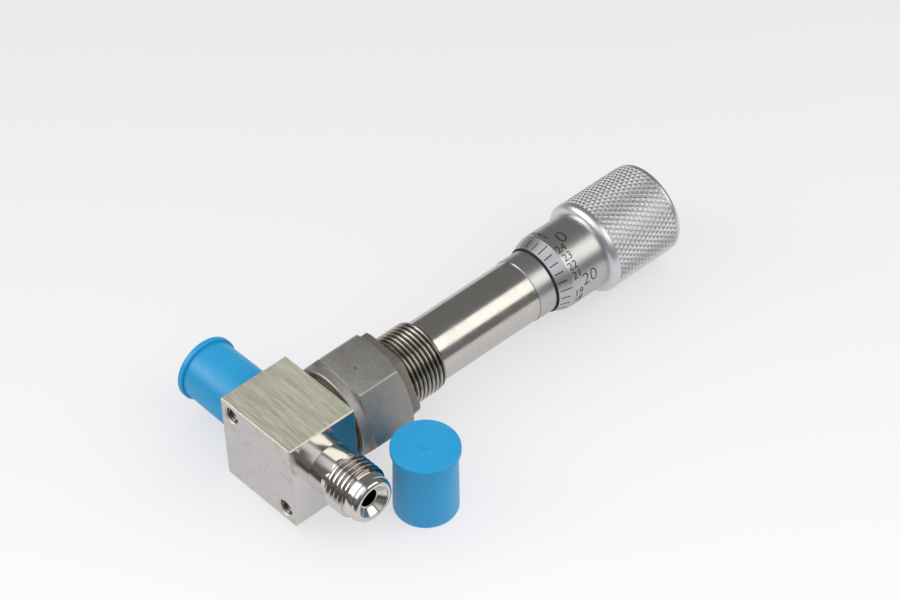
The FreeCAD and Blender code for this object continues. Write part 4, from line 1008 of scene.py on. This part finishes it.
# %% [markdown]
# Every fifth line is longer, and its number larger. A number's style is its middle along the stem, its
# height, its stretch and the offset of its outline, for numbers of one and of two digits.

# %% Dial of the thimble
DIVISIONS = 25
ZERO_ANGLE = 93.0
LINE_START = 89.65
LINE_WIDTH = 0.27
MINOR = {"line_end": 91.95, "one": (94.4, 2.0, 1.02, -0.002), "two": (94.85, 2.0, 1.02, -0.002)}
MAJOR = {"line_end": 92.7, "one": (97.3, 3.35, 1.12, -0.014), "two": (98.5, 3.35, 1.0, -0.014)}

dial_lines = bmesh.new()
dial_numbers = bmesh.new()
for number in range(DIVISIONS):
    angle = ZERO_ANGLE - number * 360 / DIVISIONS
    style = MINOR if number % 5 else MAJOR
    digits = "two" if number > 9 else "one"
    line = flat_line(LINE_START, style["line_end"], LINE_WIDTH)
    wrap_inlay(line, dial_lines, thimble_radius_at, angle)
    wrap_inlay(flat_number(str(number), *style[digits]), dial_numbers, thimble_radius_at, angle)
print("dial faces:", len(dial_lines.faces), len(dial_numbers.faces))

# %% [markdown]
# A sheet gets its depth from solidify, which needs normals that all point outwards first.


# %% Give the dial its depth
def deepen(inlays, name, body):
    """Points an inlay's faces away from the stem, and lets it into the metal."""
    inlays.normal_update()
    for face in inlays.faces:
        outward = face.calc_center_median() * Vector(ACROSS_STEM)
        if face.normal.dot(outward) < 0:
            face.normal_flip()
    bmesh.ops.solidify(inlays, geom=inlays.faces[:], thickness=INLAY_DEPTH * MM)
    finish_piece(inlays, name, body, "satin_chrome", material="dial_paint", smooth_below=40)


deepen(dial_lines, "dial_lines", "handle")
deepen(dial_numbers, "dial_numbers", "handle")

# %% [markdown]
# A black ring sits in the thimble's mouth as a painted shadow of the gap between the thimble and the sleeve.
# It is a ring with a thin lip.

# %% Painted shadow ring
SHADOW_RING_OUTLINE = [(88.66, 8.60), (88.66, 8.68), (89.08, 8.96), (89.18, 8.96), (89.18, 8.85),
                 (90.4, 8.85), (90.4, 8.60), (88.66, 8.60)]
shadow_ring = bmesh.new()
turn_once(shadow_ring, SHADOW_RING_OUTLINE, SMALL_STEPS)
finish_piece(shadow_ring, "mouth_shadow_ring", "handle", "seal_rubber")

# %% [markdown]
# **Turns.** The sleeve under the thimble counts whole turns: a line along the stem and a short mark for
# each turn, which come out from under the thimble as the valve opens. In this pose the scale is on the
# far side of the sleeve.

# %% Scale of the sleeve
SLEEVE_RADIUS = 8.55
SCALE_ANGLE = 236.7
SCALE_START = 84.6
SCALE_LINE_WIDTH = 0.15
MARK_WIDTH = 0.13
LONG_MARK, SHORT_MARK = 2.6, 1.6
TURN_RISE = 0.635
TURNS = 10


def sleeve_radius_at(along):
    """Radius of the sleeve's outside, which is the same at every height."""
    return SLEEVE_RADIUS


scale_marks = bmesh.new()
scale_line = flat_line(SCALE_START, THIMBLE_START + TURNS * TURN_RISE, SCALE_LINE_WIDTH)
wrap_inlay(scale_line, scale_marks, sleeve_radius_at, SCALE_ANGLE)
for mark in range(TURNS + 1):
    reach = SHORT_MARK if mark % 5 else LONG_MARK
    middle = (THIMBLE_START + mark * TURN_RISE, -reach / 2)
    wrap_inlay(flat_strip(middle, (MARK_WIDTH, reach), 1, 4), scale_marks, sleeve_radius_at, SCALE_ANGLE)
deepen(scale_marks, "sleeve_scale", "root")

# %% [markdown]
# ## The caps
# A moulded cap has a thin, slightly tapered wall, a flange at its closed end and the small nub where the
# plastic was let in. Its edges are all rounded. It is turned along X like the metal parts and then put
# in place.

# %% Cap
CAP_OUTLINE = [(20.85, 0.0), (20.85, 0.9), (20.6, 0.95), (20.6, 8.554), (19.1, 8.554), (19.1, 7.854),
               (0, 8.054), (0, 7.204), (19.1, 7.204), (19.1, 0.0)]


def make_cap(name, node, place):
    """A push-on cap with rounded edges."""
    cap = bmesh.new()
    turn_once(cap, CAP_OUTLINE, SMALL_STEPS)
    round_rings(cap, (20.6, 8.554, 0.38, 4), (19.1, 8.554, 0.20, 3), (0, 8.054, 0.20, 3),
                (0, 7.204, 0.15, 2), (20.85, 0.9, 0.12, 2))
    cap.transform(place)
    piece = finish_piece(cap, name, node, "blue_plastic", smooth_below=50)
    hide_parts(node)


FITTED_CAP_FROM = 13.4
LOOSE_CAP_PLACE = (28.7, -27.4, -HALF_BAR * (math.cos(ROLL) + math.sin(ROLL)))
make_cap("push_on_cap", "fitted_cap", in_port(1) @ Matrix.Translation((FITTED_CAP_FROM * MM, 0, 0)))
standing = Matrix.Translation(Vector(LOOSE_CAP_PLACE) * MM)
make_cap("loose_push_on_cap", "loose_cap", standing @ Matrix.Rotation(-math.pi / 2, 4, "Y"))

# %% [markdown]
# ## The grip's end
# The cover that closes the grip is faced on the lathe: a low step in its middle, a flat, and a raised
# ring whose edges are broken.

# %% End cover
COVER_OUTLINE = [(127.2, 0.0), (127.2, 2.2), (127.0, 2.5), (127.0, 6.9), (127.5, 7.3),
                 (127.5, 8.75), (127.05, 9.18), (125.72, 9.18), (125.72, 0.0)]
cover = bmesh.new()
turn_once(cover, COVER_OUTLINE, KNURL_STEPS)
break_edges(cover, 0.06, above=30)
faced_cover = finish_piece(cover, "faced_end_cover", "handle", "satin_chrome")
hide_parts("end_cover")
